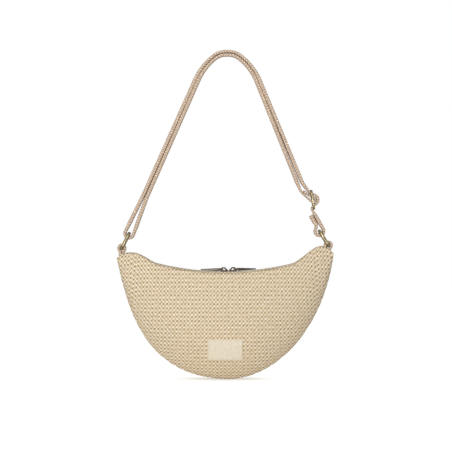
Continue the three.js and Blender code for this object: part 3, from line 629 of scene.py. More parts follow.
def cotton(name, dark, light, pitch, strength):
    """Plain woven cotton: threads both ways, a pitch in mm apart, in yarn of two tones."""
    material, shader = new_material(name, Roughness=0.9, Specular_IOR_Level=0.2)
    place = add_node(material, "Attribute", {"attribute_name": "weave"}).outputs["Vector"]
    threads = []
    for direction in ("X", "Y"):
        settings = {"bands_direction": direction, "Scale": math.tau / (20 * pitch)}
        threads.append(add_node(material, "TexWave", settings, Vector=place).outputs["Fac"])
    both = add_node(material, "Math", {"operation": "MULTIPLY"}, _0=threads[0], _1=threads[1])
    bump = add_node(material, "Bump", {"Strength": strength, "Distance": 0.15 * MM}, Height=both.outputs[0])
    connect(material, bump.outputs[0], shader.inputs["Normal"])
    slub = add_node(material, "TexNoise", {"Scale": 0.25, "Detail": 4.0}, Vector=place)
    colour = add_node(material, "ValToRGB", {"stops": [(0.3, dark), (0.7, light)]}, Fac=slub.outputs[0])
    connect(material, colour.outputs["Color"], shader.inputs["Base Color"])
    return material


lining_cotton = cotton("plain woven lining cotton", "#c6b898", "#d6caae", COTTON_THREAD, 0.5)


def flat_weave(grid):
    """Millimetres along the columns and the rows of a grid, for a woven pattern."""
    across = np.linalg.norm(np.diff(grid, axis=1), axis=2)
    u = np.hstack([np.zeros((grid.shape[0], 1)), np.cumsum(across, axis=1)])
    return np.stack([u, along_rows(grid), np.zeros_like(u)], -1)


print("lining: one thread over and under in", COTTON_THREAD, "mm")

# %% Linings, pocket and binding
LINING_INSET, LINING_THICKNESS = 2.3, 0.8
FIRST_ROW = 0.135  # the lining starts this share below the mouth
SLACK_DEPTH, SLACK_ACROSS, SLACK_DOWN = 0.3, 17.0, 23.0  # mm that the cloth sags, and mm for its waves
POCKET_INSET, POCKET_THICKNESS = 4.0, 0.6
POCKET_HALF, POCKET_HIGH, POCKET_LOW = 62.0, 112.0, 38.0
BINDING_INSET, BINDING_THICKNESS, BINDING_WIDTH = 3.4, 0.6, 6.0
BINDING_FROM, BINDING_TO = 2 / 26, 24 / 26  # shares of the way from tip to tip
BINDING_ROW = 0.952  # the lining's row that the binding reaches towards


def lining_grid(side):
    x = -HALF_WIDTH * np.cos(np.pi * np.linspace(0, 1, 121))
    down = FIRST_ROW + (1 - FIRST_ROW) * np.sin(np.linspace(0, np.pi / 2, 61))[:, None]
    return skin(x, down, LINING_INSET, side)


def slack(grid):
    """Shallow waves, fading out at the edges."""
    rows, columns, _ = grid.shape
    fade = np.sin(np.linspace(0, np.pi, rows))[:, None] * np.sin(np.linspace(0, np.pi, columns))
    waves = np.sin(grid[..., 0] / SLACK_ACROSS) * np.cos(grid[..., 2] / SLACK_DOWN)
    return SLACK_DEPTH * fade * (waves - 1) / 2


for name, node, side in (("lining_front", "front_lining", -1), ("lining_back", "back_lining", 1)):
    grid = lining_grid(side)
    cloth_piece(name, node, lining_cotton, grid, LINING_THICKNESS, slack(grid), flat_weave(grid),
                (0, side, 0))

x = np.linspace(-POCKET_HALF, POCKET_HALF, 61)
z = np.linspace(POCKET_HIGH, POCKET_LOW, 37)[:, None]
grid = skin(x, (mouth_edge(x) - z) / (mouth_edge(x) - seam_height(x)), POCKET_INSET, 1)
cloth_piece("pocket_inside", "inner_pocket", lining_cotton, grid, POCKET_THICKNESS, slack(grid),
            flat_weave(grid), (0, 1, 0))

x = -HALF_WIDTH * np.cos(np.pi * np.linspace(BINDING_FROM, BINDING_TO, 121))
seam_points = skin(x, np.ones_like(x), BINDING_INSET, 1) * np.array([1, 0, 1])
rows = []
for across in np.linspace(-1, 1, 9):
    toward = skin(x, BINDING_ROW, BINDING_INSET, -1 if across < 0 else 1) - seam_points
    reach = np.minimum(1, BINDING_WIDTH / np.linalg.norm(toward, axis=1))[:, None]
    rows.append(seam_points + toward * reach * abs(across))
grid = np.stack(rows)
cloth_piece("binding_inside", "seam_binding", lining_cotton, grid, BINDING_THICKNESS, None,
            flat_weave(grid), (0, 0, -1))

# %% [markdown]
# A small bare label of cotton canvas is sewn to the front. Its cut edges are folded under, so it is a little
# thicker than its cloth and its rim is round. A running stitch holds it, one stitch every 2.5 mm.

# %% Label
LABEL_LEFT, LABEL_RIGHT, LABEL_LOW, LABEL_HIGH = -22.6, 23.5, 26.7, 54.5
LABEL_PROUD = 1.1  # its face over the skin of the panel
LABEL_THICKNESS, LABEL_RIM, LABEL_RIM_DROP = 0.8, 0.8, 0.6
LABEL_RIPPLE, RIPPLE_ACROSS, RIPPLE_DOWN = 0.15, 5.1, 4.3
label_cotton = cotton("canvas label, folded and bare", "#e0d5bf", "#ebe1cd", 0.9, 0.6)


def label_point(x, z, proud):
    share = (mouth_edge(x) - z) / (mouth_edge(x) - seam_height(x))
    return skin(x, share, -proud, -1)


x = np.linspace(LABEL_LEFT, LABEL_RIGHT, 61)
z = np.linspace(LABEL_HIGH, LABEL_LOW, 37)[:, None]
grid = label_point(x, z, LABEL_PROUD)
rim = np.minimum(np.minimum(x - LABEL_LEFT, LABEL_RIGHT - x), np.minimum(LABEL_HIGH - z, z - LABEL_LOW))
relief = LABEL_RIPPLE * np.sin(x / RIPPLE_ACROSS) * np.sin(z / RIPPLE_DOWN)
relief = relief - LABEL_RIM_DROP * np.clip(1 - rim / LABEL_RIM, 0, 1) ** 2
cloth_piece("label_front", "label", label_cotton, grid, LABEL_THICKNESS, relief, flat_weave(grid),
            (0, -1, 0))

# %% Stitches
STITCH_LEAD, STITCH_SHARE, STITCH_ROOM = 0.15, 0.72, 0.8  # start, length and room of a stitch, of its pitch
STITCH_ARCH, STITCH_SINK = 1.3, 0.6  # how far a stitch rises and how deep its ends lie, of its thread
STITCH_SIDES, STITCH_STEPS = 6, 7
LABEL_STITCH, LABEL_THREAD, STITCH_INSET, STITCH_PROUD = 2.5, 0.45, 1.3, 0.1
thread_cotton, shader = new_material("twisted cotton thread", Base_Color=linear("#d9cdb0"), Roughness=0.8)


def points_at(s, length, line):
    """Points of a line at distances s along it."""
    return np.stack([np.interp(s, length, column) for column in line.T], -1)


def hoops(line, one, two, radius, sides):
    """Points on circles round each point of a line, in the plane of two directions there."""
    turn = np.linspace(0, 2 * np.pi, sides, endpoint=False)[:, None]
    circle = np.cos(turn) * one[:, None] + np.sin(turn) * two[:, None]
    return (line[:, None] + np.reshape(radius, (-1, 1, 1)) * circle).reshape(-1, 3)


def tube_faces(count, sides, first=0):
    """The wall of a tube of hoops and its two ends."""
    last = first + sides * (count - 1)
    ends = [list(range(first, first + sides))[::-1], list(range(last, last + sides))]
    return grid_faces(count, sides, first, wrap=True) + ends


def stitches(name, line, facing, pitch, thickness, material, body):
    """One thread seen as short raised stitches along a line, each dipping into the cloth at its ends."""
    length = distances(line)
    share = np.linspace(0, 1, STITCH_STEPS)
    arch = np.sin(np.pi * share)
    girth = thickness / 2 * np.clip(3 * arch, 0.35, 1)
    points, faces = [], []
    for start in np.arange(STITCH_LEAD * pitch, length[-1] - STITCH_ROOM * pitch, pitch):
        s = start + STITCH_SHARE * pitch * share
        out = points_at(s, length, facing)
        lift = thickness * (STITCH_ARCH * arch - STITCH_SINK)
        centre = points_at(s, length, line) + out * lift[:, None]
        tangent = unit(np.gradient(centre, axis=0))
        side = unit(np.cross(tangent, out))
        faces += tube_faces(STITCH_STEPS, STITCH_SIDES, STITCH_STEPS * STITCH_SIDES * len(points))
        points.append(hoops(centre, side, np.cross(tangent, side), girth, STITCH_SIDES))
    piece = add_mesh(name, np.vstack(points), faces, material)
    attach(piece, body)
    print(name, len(points), "stitches")


def round_a_box(left, low, right, high):
    """Points round the four sides of a box, back to its first corner."""
    corners = [(left, low), (right, low), (right, high), (left, high), (left, low)]
    return np.vstack([np.linspace(a, b, 40)[:-1] for a, b in zip(corners, corners[1:])])


x, z = round_a_box(LABEL_LEFT + STITCH_INSET, LABEL_LOW + STITCH_INSET, LABEL_RIGHT - STITCH_INSET,
                   LABEL_HIGH - STITCH_INSET).T
line = label_point(x, z, LABEL_PROUD + STITCH_PROUD)
facing = label_point(x, z, LABEL_PROUD + STITCH_PROUD + 1) - line
stitches("label_stitches", line, facing, LABEL_STITCH, LABEL_THREAD, thread_cotton, "bag")

# %% [markdown]
# The zip is a nylon coil zip: two woven tapes, and on each of them a nylon monofilament wound as a coil and
# sewn down. The tapes are ribbed along their length. The coil is a real winding here, one turn every
# 1.5 mm, a tube swept along a flattened helix that follows the arc of the mouth.

# %% Zip tapes
TAPE_NEAR, TAPE_FAR, TAPE_TOP, TAPE_THICKNESS, ZIP_HALF = 1.0, 16.0, -0.3, 0.8, 100.0
TAPE_RIB, TAPE_RIB_PITCH = 0.06, 1.875
tape_cloth = cotton("woven zip tape, dyed brown", "#7d674d", "#93795b", 0.9, 0.7)
along = np.linspace(-ZIP_HALF, ZIP_HALF, 161)
across = np.linspace(TAPE_NEAR, TAPE_FAR, 33)[:, None]
ribs = -TAPE_RIB * (1 + np.cos(2 * np.pi * (across - TAPE_NEAR) / TAPE_RIB_PITCH)) * np.ones_like(along)
for name, node, side in (("tape_front", "zip_tape_front", -1), ("tape_back", "zip_tape_back", 1)):
    grid = arc_points(np.broadcast_to(along, ribs.shape), side * across, TAPE_TOP)
    cloth_piece(name, node, tape_cloth, grid, TAPE_THICKNESS, ribs, flat_weave(grid), (0, 0, 1))

# %% Zip coils
COIL_NEAR, COIL_FAR, COIL_HEIGHT, COIL_HALF, COIL_PITCH, FILAMENT = 0.75, 3.2, 2.4, 92.2, 1.5, 0.62
nylon, shader = new_material("wound nylon monofilament", Base_Color=linear("#6f5b45"), Roughness=0.4,
                             IOR=1.53)


def tube(path, radius, sides):
    """Points and faces of a round tube along a path; its frame is carried along so that it doesn't twist."""
    tangent = unit(np.gradient(path, axis=0))
    reference = [0.0, 0.0, 1.0] if abs(tangent[0, 1]) > 0.98 else [0.0, 1.0, 0.0]
    side = np.zeros_like(path)
    side[0] = unit(np.cross(tangent[0], reference))
    for k in range(1, len(path)):
        side[k] = unit(side[k - 1] - tangent[k] * (side[k - 1] @ tangent[k]))
    return hoops(path, side, np.cross(tangent, side), radius, sides), tube_faces(len(path), sides)


half_wide, half_high = (COIL_FAR - COIL_NEAR - FILAMENT) / 2, (COIL_HEIGHT - FILAMENT) / 2
turns = round(2 * (COIL_HALF - 1) / COIL_PITCH)
for name, node, side in (("coil_front", "zip_coil_front", -1), ("coil_back", "zip_coil_back", 1)):
    phase = np.linspace(0, turns, 12 * turns + 1) + side / 4  # they start half a turn apart
    y = side * ((COIL_NEAR + COIL_FAR) / 2 + half_wide * np.cos(2 * np.pi * phase))
    level = COIL_HEIGHT / 2 + half_high * np.sin(2 * np.pi * phase)
    winding = arc_points((phase - turns / 2) * COIL_PITCH, y, level)
    dress(add_mesh(name, *tube(winding, FILAMENT / 2, 6), nylon), "bag", node)
    print(name, turns, "turns")

# %% [markdown]
# The sliders, their pulls and the stops are die-cast zinc with a dark gunmetal plating: dark, a bit warm,
# and smooth, so their edges catch the white of the studio. Flat castings with a small round on every edge
# are quickly drawn as filled curves: a 2D curve takes outlines with holes, a thickness and a bevel. The
# curve is then turned into points and faces, and the parts of a slider are set on the arc of the zip.

# %% Gunmetal
gunmetal, shader = new_material("zinc casting, gunmetal plated", Metallic=1.0, Roughness=0.34)
place = add_node(gunmetal, "TexCoord").outputs["Object"]
# Rubbed plating: patches of about 3 mm
rubbed = add_node(gunmetal, "TexNoise", {"Scale": 330.0, "Detail": 3.0}, Vector=place)
plating = [(0.35, "#332c27"), (0.65, "#4d443d")]
colour = add_node(gunmetal, "ValToRGB", {"stops": plating}, Fac=rubbed.outputs[0])
connect(gunmetal, colour.outputs["Color"], shader.inputs["Base Color"])
worn = add_node(gunmetal, "MapRange", {"To Min": 0.26, "To Max": 0.46}, Value=rubbed.outputs[0])
connect(gunmetal, worn.outputs[0], shader.inputs["Roughness"])
print("castings:", gunmetal.name)


# %% Castings
def casting(outlines, thickness, edge):
    """A flat casting in X and Y, centred on Z = 0, with rounded edges; the second outline is a hole."""
    curve = bpy.data.curves.new("casting", "CURVE")
    curve.dimensions, curve.fill_mode = "2D", "BOTH"
    curve.extrude, curve.bevel_depth, curve.offset = thickness / 2 - edge, edge, -edge
    curve.bevel_resolution = 2
    for outline in outlines:
        spline = curve.splines.new("POLY")
        spline.points.add(len(outline) - 1)
        for point, (x, y) in zip(spline.points, outline):
            point.co = (x, y, 0, 1)
        spline.use_cyclic_u = True
    drawn = bpy.data.objects.new("casting", curve)
    bpy.context.collection.objects.link(drawn)
    mesh = bpy.data.meshes.new_from_object(drawn.evaluated_get(bpy.context.evaluated_depsgraph_get()))
    shape = bmesh.new()
    shape.from_mesh(mesh)
    bmesh.ops.remove_doubles(shape, verts=shape.verts, dist=1e-4)
    bmesh.ops.recalc_face_normals(shape, faces=shape.faces)
    points = np.array([vertex.co for vertex in shape.verts])
    shape.verts.index_update()
    faces = [[vertex.index for vertex in face.verts] for face in shape.faces]
    shape.free()
    bpy.data.objects.remove(drawn)
    bpy.data.curves.remove(curve)
    bpy.data.meshes.remove(mesh)
    return points, faces


def joined(parts):
    points, faces = [], []
    first = 0
    for some_points, some_faces in parts:
        points.append(some_points)
        faces += [[first + k for k in face] for face in some_faces]
        first += len(some_points)
    return np.vstack(points), faces


def standing_up(part):
    """Turns a casting from X and Y into X and Z."""
    points, faces = part
    return np.stack([points[:, 0], -points[:, 2], points[:, 1]], -1), faces


def moved(part, x=0.0, y=0.0, z=0.0):
    return part[0] + np.array([x, y, z]), part[1]


def rounded(points, radius, steps=4):
    """The outline with each corner rounded by a small curve."""
    points = [np.array(p, float) for p in points]
    result = []
    for before, corner, after in zip(points[-1:] + points[:-1], points, points[1:] + points[:1]):
        back, ahead = before - corner, after - corner
        reach = min(radius, np.linalg.norm(back) / 2.1, np.linalg.norm(ahead) / 2.1)
        start, end = corner + unit(back) * reach, corner + unit(ahead) * reach
        for t in np.linspace(0, 1, steps + 1):
            result.append((1 - t) ** 2 * start + 2 * (1 - t) * t * corner + t**2 * end)
    return result


def on_arc(part, along, sign):
    """Sets a part that points outwards along the zip on the arc; sign -1 turns it to the left."""
    points, faces = part
    x, y, depth = sign * points[:, 0], sign * points[:, 1], ZIP_RADIUS - points[:, 2]
    sine, cosine = math.sin(along / ZIP_RADIUS), math.cos(along / ZIP_RADIUS)
    return np.stack([x * cosine + depth * sine, y, ARC_CENTRE + x * sine - depth * cosine], -1), faces


print("a round corner has", len(rounded([(0, 0), (9, 0), (9, 9)], 2)) // 3, "points")

# %% Sliders
SLIDER_LENGTH, SLIDER_WIDTH, SLIDER_WALL, SLIDER_EDGE = 11.0, 9.6, 1.2, 0.3
NOSE_SHARE, SHIELD_CORNER = 0.8, 2.2  # width of a plate's narrow end, and the round of its corners
PLATE_TOP, PLATE_BOTTOM = 4.0, -1.5
POST_FROM, POST_TO, POST_HALF, POST_CORNER, POST_EDGE = 0.3, 3.0, 0.55, 0.4, 0.1
RAIL_BACK, RAIL_FRONT, RAIL_HALF, RAIL_CORNER, RAIL_EDGE = 1.0, 0.6, 0.6, 0.5, 0.25
RAIL_INSET, RAIL_TOP, RAIL_HEIGHT = 0.65, PLATE_TOP - 0.4, PLATE_TOP - 0.7
BAIL_WIDTH, BAIL_WIRE, BAIL_EYE, BAIL_REACH, BAIL_TOE, BAIL_EDGE = 3.0, 1.4, 1.2, 1.6, 0.4, 0.4
PULL_AXIS = 5.4  # height of the middle of the bail's eye
SLIDER_PLACE = {"left": -1.3, "right": 10.3}


def block(left, right, half, corner):
    """A rectangle with round corners, the same on both sides of the X axis."""
    return rounded([(left, -half), (right, -half), (right, half), (left, half)], corner)


def slider_parts():
    half, wide = SLIDER_LENGTH / 2, SLIDER_WIDTH / 2
    nose, shoulder = NOSE_SHARE * wide, 0.1 * half
    shield = rounded([(-half, -nose), (shoulder, -wide), (half, -wide), (half, wide), (shoulder, wide),
                      (-half, nose)], SHIELD_CORNER)
    plates = [moved(casting([shield], SLIDER_WALL, SLIDER_EDGE), z=level - SLIDER_WALL / 2)
              for level in (PLATE_TOP, PLATE_BOTTOM)]
    post = block(-half + POST_FROM, -half + POST_TO, POST_HALF, POST_CORNER)
    post = casting([post], PLATE_TOP - PLATE_BOTTOM, POST_EDGE)
    post = moved(post, z=(PLATE_TOP + PLATE_BOTTOM) / 2 - SLIDER_WALL / 2)
    rail = block(-half + RAIL_BACK, half - RAIL_FRONT, RAIL_HALF, RAIL_CORNER)
    rail = casting([rail], RAIL_HEIGHT, RAIL_EDGE)
    rails = [moved(rail, y=side * (wide - RAIL_INSET), z=RAIL_TOP - RAIL_HEIGHT / 2) for side in (-1, 1)]
    outer = BAIL_EYE + BAIL_WIRE
    foot, crest = PLATE_TOP - SLIDER_WALL / 2, PULL_AXIS + outer
    turns = np.linspace(0, np.pi / 2, 8)
    over, under = ([(BAIL_REACH + radius * math.cos(t), PULL_AXIS + radius * math.sin(t)) for t in turns]
                   for radius in (outer, BAIL_EYE))
    outline = [(BAIL_REACH + outer, foot)] + over
    outline += [(BAIL_REACH - outer, crest), (-half, foot + BAIL_TOE), (-half, foot)]
    outline += [(-half + 2 * BAIL_WIRE, foot), (BAIL_REACH - BAIL_EYE, crest - BAIL_WIRE)]
    outline += under[::-1] + [(BAIL_REACH + BAIL_EYE, foot)]
    bail = standing_up(casting([outline], BAIL_WIDTH, BAIL_EDGE))
    return joined(plates + [post, bail] + rails)


print("slider", SLIDER_LENGTH, "by", SLIDER_WIDTH, "mm")

# %% Pulls and stops
PULL_LENGTH, PULL_WIDTH, PULL_THICKNESS, PULL_TIP, PULL_PLAY = 30.0, 6.0, 1.7, 3.0, 0.5
PULL_CORNER, PULL_EYE_CORNER, PULL_EDGE = 1.2, 0.6, 0.35
PULL_SWELL = {"over": 1.4, "under": 2.6}  # half a pull's thickness past its eye
SWELL_FROM, SWELL_TO, PULL_END = -1.4, 0.6, 0.7  # from the neck, and half the tip's thickness
PULL_REST = {"left": 1.7, "right": 1.4}
STOP_PLACE, STOP_LENGTH, STOP_WIDTH, STOP_CORNER, STOP_EDGE = 94.0, 3.0, 6.4, 1.0, 0.7


def pull_part(rest):
    """A tapered tongue with an eye round the bail, lying at its rest angle."""
    half, tip = PULL_WIDTH / 2, PULL_TIP / 2
    back, eye_end = PULL_THICKNESS / 2, BAIL_EYE + BAIL_WIRE + PULL_PLAY
    neck = eye_end + 2 * BAIL_WIRE
    outline = rounded([(-back, -half), (neck, -half), (PULL_LENGTH - tip, -tip), (PULL_LENGTH, 0),
                       (PULL_LENGTH - tip, tip), (neck, half), (-back, half)], PULL_CORNER)
    eye_half = BAIL_WIDTH / 2 + PULL_PLAY
    eye = rounded([(back, -eye_half), (back, eye_half), (eye_end, eye_half), (eye_end, -eye_half)],
                  PULL_EYE_CORNER)
    points, faces = casting([outline, eye], PULL_THICKNESS, PULL_EDGE)
    swell = [np.interp(points[:, 0], [neck + SWELL_FROM, neck + SWELL_TO, PULL_LENGTH],
                       [PULL_THICKNESS / 2, PULL_SWELL[face], PULL_END]) for face in ("over", "under")]
    points[:, 2] *= np.where(points[:, 2] > 0, *swell) / (PULL_THICKNESS / 2)
    slope = math.radians(rest)
    x = points[:, 0] * math.cos(slope) + points[:, 2] * math.sin(slope)
    z = -points[:, 0] * math.sin(slope) + points[:, 2] * math.cos(slope)
    return np.stack([x + BAIL_REACH, points[:, 1], z + PULL_AXIS], -1), faces


def stop_part():
    outline = block(-STOP_LENGTH / 2, STOP_LENGTH / 2, STOP_WIDTH / 2, STOP_CORNER)
    return moved(casting([outline], COIL_HEIGHT, STOP_EDGE), z=COIL_HEIGHT / 2)


for name, sign in (("left", -1), ("right", 1)):
    slider = on_arc(slider_parts(), SLIDER_PLACE[name], sign)
    pull = on_arc(pull_part(PULL_REST[name]), SLIDER_PLACE[name], sign)
    stop = on_arc(stop_part(), sign * STOP_PLACE, 1)
    bodies = {"slider_": "slider_" + name, "pull_": "pull_" + name, "stop_": "bag"}
    for (kind, body), (points, faces) in zip(bodies.items(), (slider, pull, stop)):
        piece = dress(add_mesh(kind + name, points, faces, gunmetal), body, "zip_" + kind + name)
        piece.data.set_sharp_from_angle(angle=math.radians(40))
        print(kind + name, len(faces), "faces")

# %% [markdown]
# Rings and adjuster are bent from round steel wire and plated in antique brass: yellow metal that was
# darkened and rubbed again, so it is brown in the hollows and bright on the crests. The solids have eight
# flat sides to their wire. Here the wire is swept again with enough sides to look round.

# %% Antique brass
brass, shader = new_material("wire, antique brass plated", Metallic=1.0, Roughness=0.32)
place = add_node(brass, "TexCoord").outputs["Object"]
# Darkening left in patches of about 4 mm
patina = add_node(brass, "TexNoise", {"Scale": 240.0, "Detail": 4.0, "Roughness": 0.6}, Vector=place)
tarnish = [(0.3, "#5f5440"), (0.5, "#85785b"), (0.7, "#a69b82")]
colour = add_node(brass, "ValToRGB", {"stops": tarnish}, Fac=patina.outputs[0])
connect(brass, colour.outputs["Color"], shader.inputs["Base Color"])
dull = add_node(brass, "MapRange", {"To Min": 0.42, "To Max": 0.24}, Value=patina.outputs[0])
connect(brass, dull.outputs[0], shader.inputs["Roughness"])

# %% Rings and adjuster
RING_WIRE, RING_INSIDE, RING_SPAN, RING_CORNER = 4.0, 26.5, 22.2, 3.4
PLATED_WIRE = 4.2  # the wire with its plating
RING_LOWER = {"left": np.array([-138.0, 175.0]), "right": np.array([138.0, 179.2])}
RING_LEAN = {"left": 26.5, "right": 32.0}
ADJUSTER_PLACE, ADJUSTER_TILT = np.array([117.0, 240.0]), 9.0
ADJUSTER_WIRE, ADJUSTER_BAR, ADJUSTER_PITCH = 3.0, 2.6, 12.0
WIRE_SIDES, CORNER_STEPS = 20, 9


def upright(lean):
    return np.array([math.sin(math.radians(lean)), math.cos(math.radians(lean))])


RING_UP = {"left": upright(RING_LEAN["left"]), "right": upright(-RING_LEAN["right"])}
RING_UPPER = {name: RING_LOWER[name] + RING_UP[name] * RING_SPAN for name in RING_LOWER}


def outward_faces(part):
    """Turns the faces of a closed part so that they point out."""
    points, faces = part
    volume = sum(float(points[f[0]] @ np.cross(points[f[1]], points[f[2]])) for f in faces)
    return points, faces if volume > 0 else [face[::-1] for face in faces]


def wire_frame(middle, up, half_across, half_up, corner, wire):
    """A rectangle of round wire with round corners, in the plane of Y and an upward direction in X and Z."""
    quarter = np.linspace(0, np.pi / 2, CORNER_STEPS)
    turns = np.concatenate([k * np.pi / 2 + quarter for k in range(4)])
    across = np.repeat([1, -1, -1, 1], CORNER_STEPS) * (half_across - corner) + corner * np.cos(turns)
    rise = np.repeat([1, 1, -1, -1], CORNER_STEPS) * (half_up - corner) + corner * np.sin(turns)
    line = np.stack([middle[0] + up[0] * rise, across, middle[1] + up[1] * rise], -1)
    out = np.stack([up[0] * np.sin(turns), np.cos(turns), up[1] * np.sin(turns)], -1)
    normal = np.broadcast_to(np.cross([0.0, 1.0, 0.0], [up[0], 0.0, up[1]]), out.shape)
    points = hoops(line, out, normal, wire / 2, WIRE_SIDES)
    # One row of faces more than hoops, whose last points are the first ones again
    faces = np.array(grid_faces(len(line) + 1, WIRE_SIDES, wrap=True)) % len(points)
    return outward_faces((points, faces.tolist()))


half_across = (RING_INSIDE + RING_WIRE) / 2
for name in ("left", "right"):
    middle = (RING_LOWER[name] + RING_UPPER[name]) / 2
    part = wire_frame(middle, RING_UP[name], half_across, RING_SPAN / 2, RING_CORNER, PLATED_WIRE)
    dress(add_mesh("brass_ring_" + name, *part, brass), "ring_" + name, "ring_" + name)

adjuster_up = upright(-ADJUSTER_TILT)
half_across = (RING_INSIDE + ADJUSTER_WIRE) / 2
part = wire_frame(ADJUSTER_PLACE, adjuster_up, half_across, ADJUSTER_PITCH, ADJUSTER_WIRE, ADJUSTER_WIRE)
bar_line = [[ADJUSTER_PLACE[0], y, ADJUSTER_PLACE[1]] for y in np.linspace(-half_across, half_across, 9)]
crossbar = tube(np.array(bar_line), ADJUSTER_BAR / 2, WIRE_SIDES)
dress(add_mesh("brass_adjuster", *joined([part, crossbar]), brass), "adjuster", "adjuster_frame")
print("rings", RING_SPAN + RING_WIRE, "mm long, adjuster", 2 * ADJUSTER_PITCH + ADJUSTER_WIRE, "mm long")

# %% [markdown]
# The strap is one long piece of cotton webbing, 25 mm wide. It starts sewn round the right ring, goes
# through the adjuster, over the crown, down to the left ring, through it and all the way back to the
# adjuster, where its end is sewn round the middle bar. So its path is that of a belt over round bars:
# straight between them and curved on them. Each bar is a place, a radius and a sense of turning.

# %% Belts over bars
ARC_STEP, SHORTEST = 0.25, 0.001
Run = namedtuple("Run", "start end along normal")


def flat(x, z):
    return np.array([x, z], float)


def belt_straight(a, b):
    """The straight stretch from one bar to the next; a bar is a place, a radius and a sense of turning."""
    (place_a, radius_a, turn_a), (place_b, radius_b, turn_b) = a, b
    along = unit(place_b - place_a)
    lift = (turn_b * radius_b - turn_a * radius_a) / np.linalg.norm(place_b - place_a)
    normal = flat(-along[1], along[0]) * math.sqrt(1 - lift * lift) + along * lift
    start, end = place_a - turn_a * radius_a * normal, place_b - turn_b * radius_b * normal
    return Run(start, end, flat(normal[1], -normal[0]), normal)


def belt_path(bars):
    runs = [belt_straight(a, b) for a, b in zip(bars, bars[1:])]
    path = [runs[0].start]
    for run, (place, radius, turn), following in zip(runs, bars[1:], runs[1:]):
        path.append(run.end)
        first = math.atan2(*(run.end - place)[::-1])
        last = math.atan2(*(following.start - place)[::-1])
        sweep = (turn * (last - first) + SHORTEST) % math.tau - SHORTEST
        steps = max(1, math.ceil(abs(sweep) * radius / ARC_STEP))
        for angle in first + turn * sweep * np.arange(1, steps + 1) / steps:
            path.append(place + radius * flat(math.cos(angle), math.sin(angle)))
    path = np.array(path + [runs[-1].end])
    keep = np.concatenate([[True], np.linalg.norm(np.diff(path, axis=0), axis=1) > SHORTEST])
    return path[keep]


print("a belt's arcs have a point every", ARC_STEP, "mm")

# %% Path of the strap
WEBBING_WIDTH, WEBBING, PINCHED, TAB_WEBBING = 25.0, 4.8, 2.6, 3.6
LAYER_STEP = WEBBING + 0.6  # from one layer of webbing to the next
LOOP_RADIUS = RING_WIRE / 2 + 1.4 + WEBBING / 2  # on a ring, with its slack
BAR_RADIUS, SLACK_RADIUS, SEWN_RADIUS = 2.9, 7.0, 2.7  # on the outer bars, under and on the middle bar
CROWN_X, CROWN_FLAT, CROWN_RADIUS, CROWN_TOP = 3.0, 3.0, 28.0, 440.5
CROWN_SIDE, CROWN_TURN, CROWN_LEAD, CROWN_STEP = 80.0, 38.0, 0.05, 4.5
BEND, TAIL, MEETING, LEFT_BOW = 40.0, 24.0, 54.0, 1.6
RIGHT_BEND, RIGHT_BEND_OUT = np.array([-15.3, 26.4]), math.radians(23.5)  # from the adjuster
TAIL_BEND, TAIL_LEAD = 4.5, 0.6
SEWN_DROP, SEWN_STEP, SEWN_BEND = 17.0, 2.5, 20.0  # of the sewn end: its drop, between its legs, its bend
top_bar = ADJUSTER_PLACE + adjuster_up * ADJUSTER_PITCH
bottom_bar = ADJUSTER_PLACE - adjuster_up * ADJUSTER_PITCH
ring_right, ring_left = (RING_UPPER["right"], LOOP_RADIUS, 1), (RING_UPPER["left"], LOOP_RADIUS, 1)
bottom_turn, top_turn = (bottom_bar, BAR_RADIUS, -1), (top_bar, BAR_RADIUS, -1)
middle_turn, sewn_turn = (ADJUSTER_PLACE, SLACK_RADIUS, 1), (ADJUSTER_PLACE, SEWN_RADIUS, 1)
bend_out = flat(math.cos(RIGHT_BEND_OUT), math.sin(RIGHT_BEND_OUT))
outer_bend = (ADJUSTER_PLACE + RIGHT_BEND + bend_out * BEND, BEND, -1)
# A tight arc over the top and a wider one at each side; the return run is pressed against the main run there
crown_height = CROWN_TOP - CROWN_RADIUS - WEBBING / 2
crown_left, crown_right = (flat(CROWN_X + side * CROWN_FLAT / 2, crown_height) for side in (-1, 1))
side_away, side_turn = CROWN_SIDE - CROWN_RADIUS + CROWN_LEAD, math.radians(CROWN_TURN)
side_left = crown_left + side_away * flat(math.sin(side_turn), -math.cos(side_turn))
side_right = crown_right - side_away * flat(math.sin(side_turn), math.cos(side_turn))
arch = [(side_right, CROWN_SIDE), (crown_right, CROWN_RADIUS)]
arch += [(crown_left, CROWN_RADIUS), (side_left, CROWN_SIDE)]
outer_arch = [(place, radius, 1) for place, radius in arch]
inner_arch = [(place, radius - CROWN_STEP, -1) for place, radius in arch[::-1]]
# The sewn end on the right ring lies on the run that goes up to the adjuster
standing = belt_straight(ring_right, bottom_turn)
tail_end = standing.start + standing.along * TAIL + standing.normal * LAYER_STEP
tail_turn = TAIL_BEND + LAYER_STEP
tail_reach = math.sqrt((TAIL_BEND + LOOP_RADIUS) ** 2 - (tail_turn - LOOP_RADIUS) ** 2) + TAIL_LEAD
tail_bend = (standing.start + standing.along * tail_reach + standing.normal * tail_turn, TAIL_BEND, -1)
# On the left the two runs come together above the ring
chord = belt_straight(outer_arch[-1], ring_left)
left_bend = (chord.end - chord.along * MEETING + chord.normal * (LEFT_BOW - BEND), BEND, -1)
left_run = belt_straight(outer_arch[-1], left_bend)
inner_bend = (left_run.end + left_run.normal * (LAYER_STEP + BEND), BEND, -1)
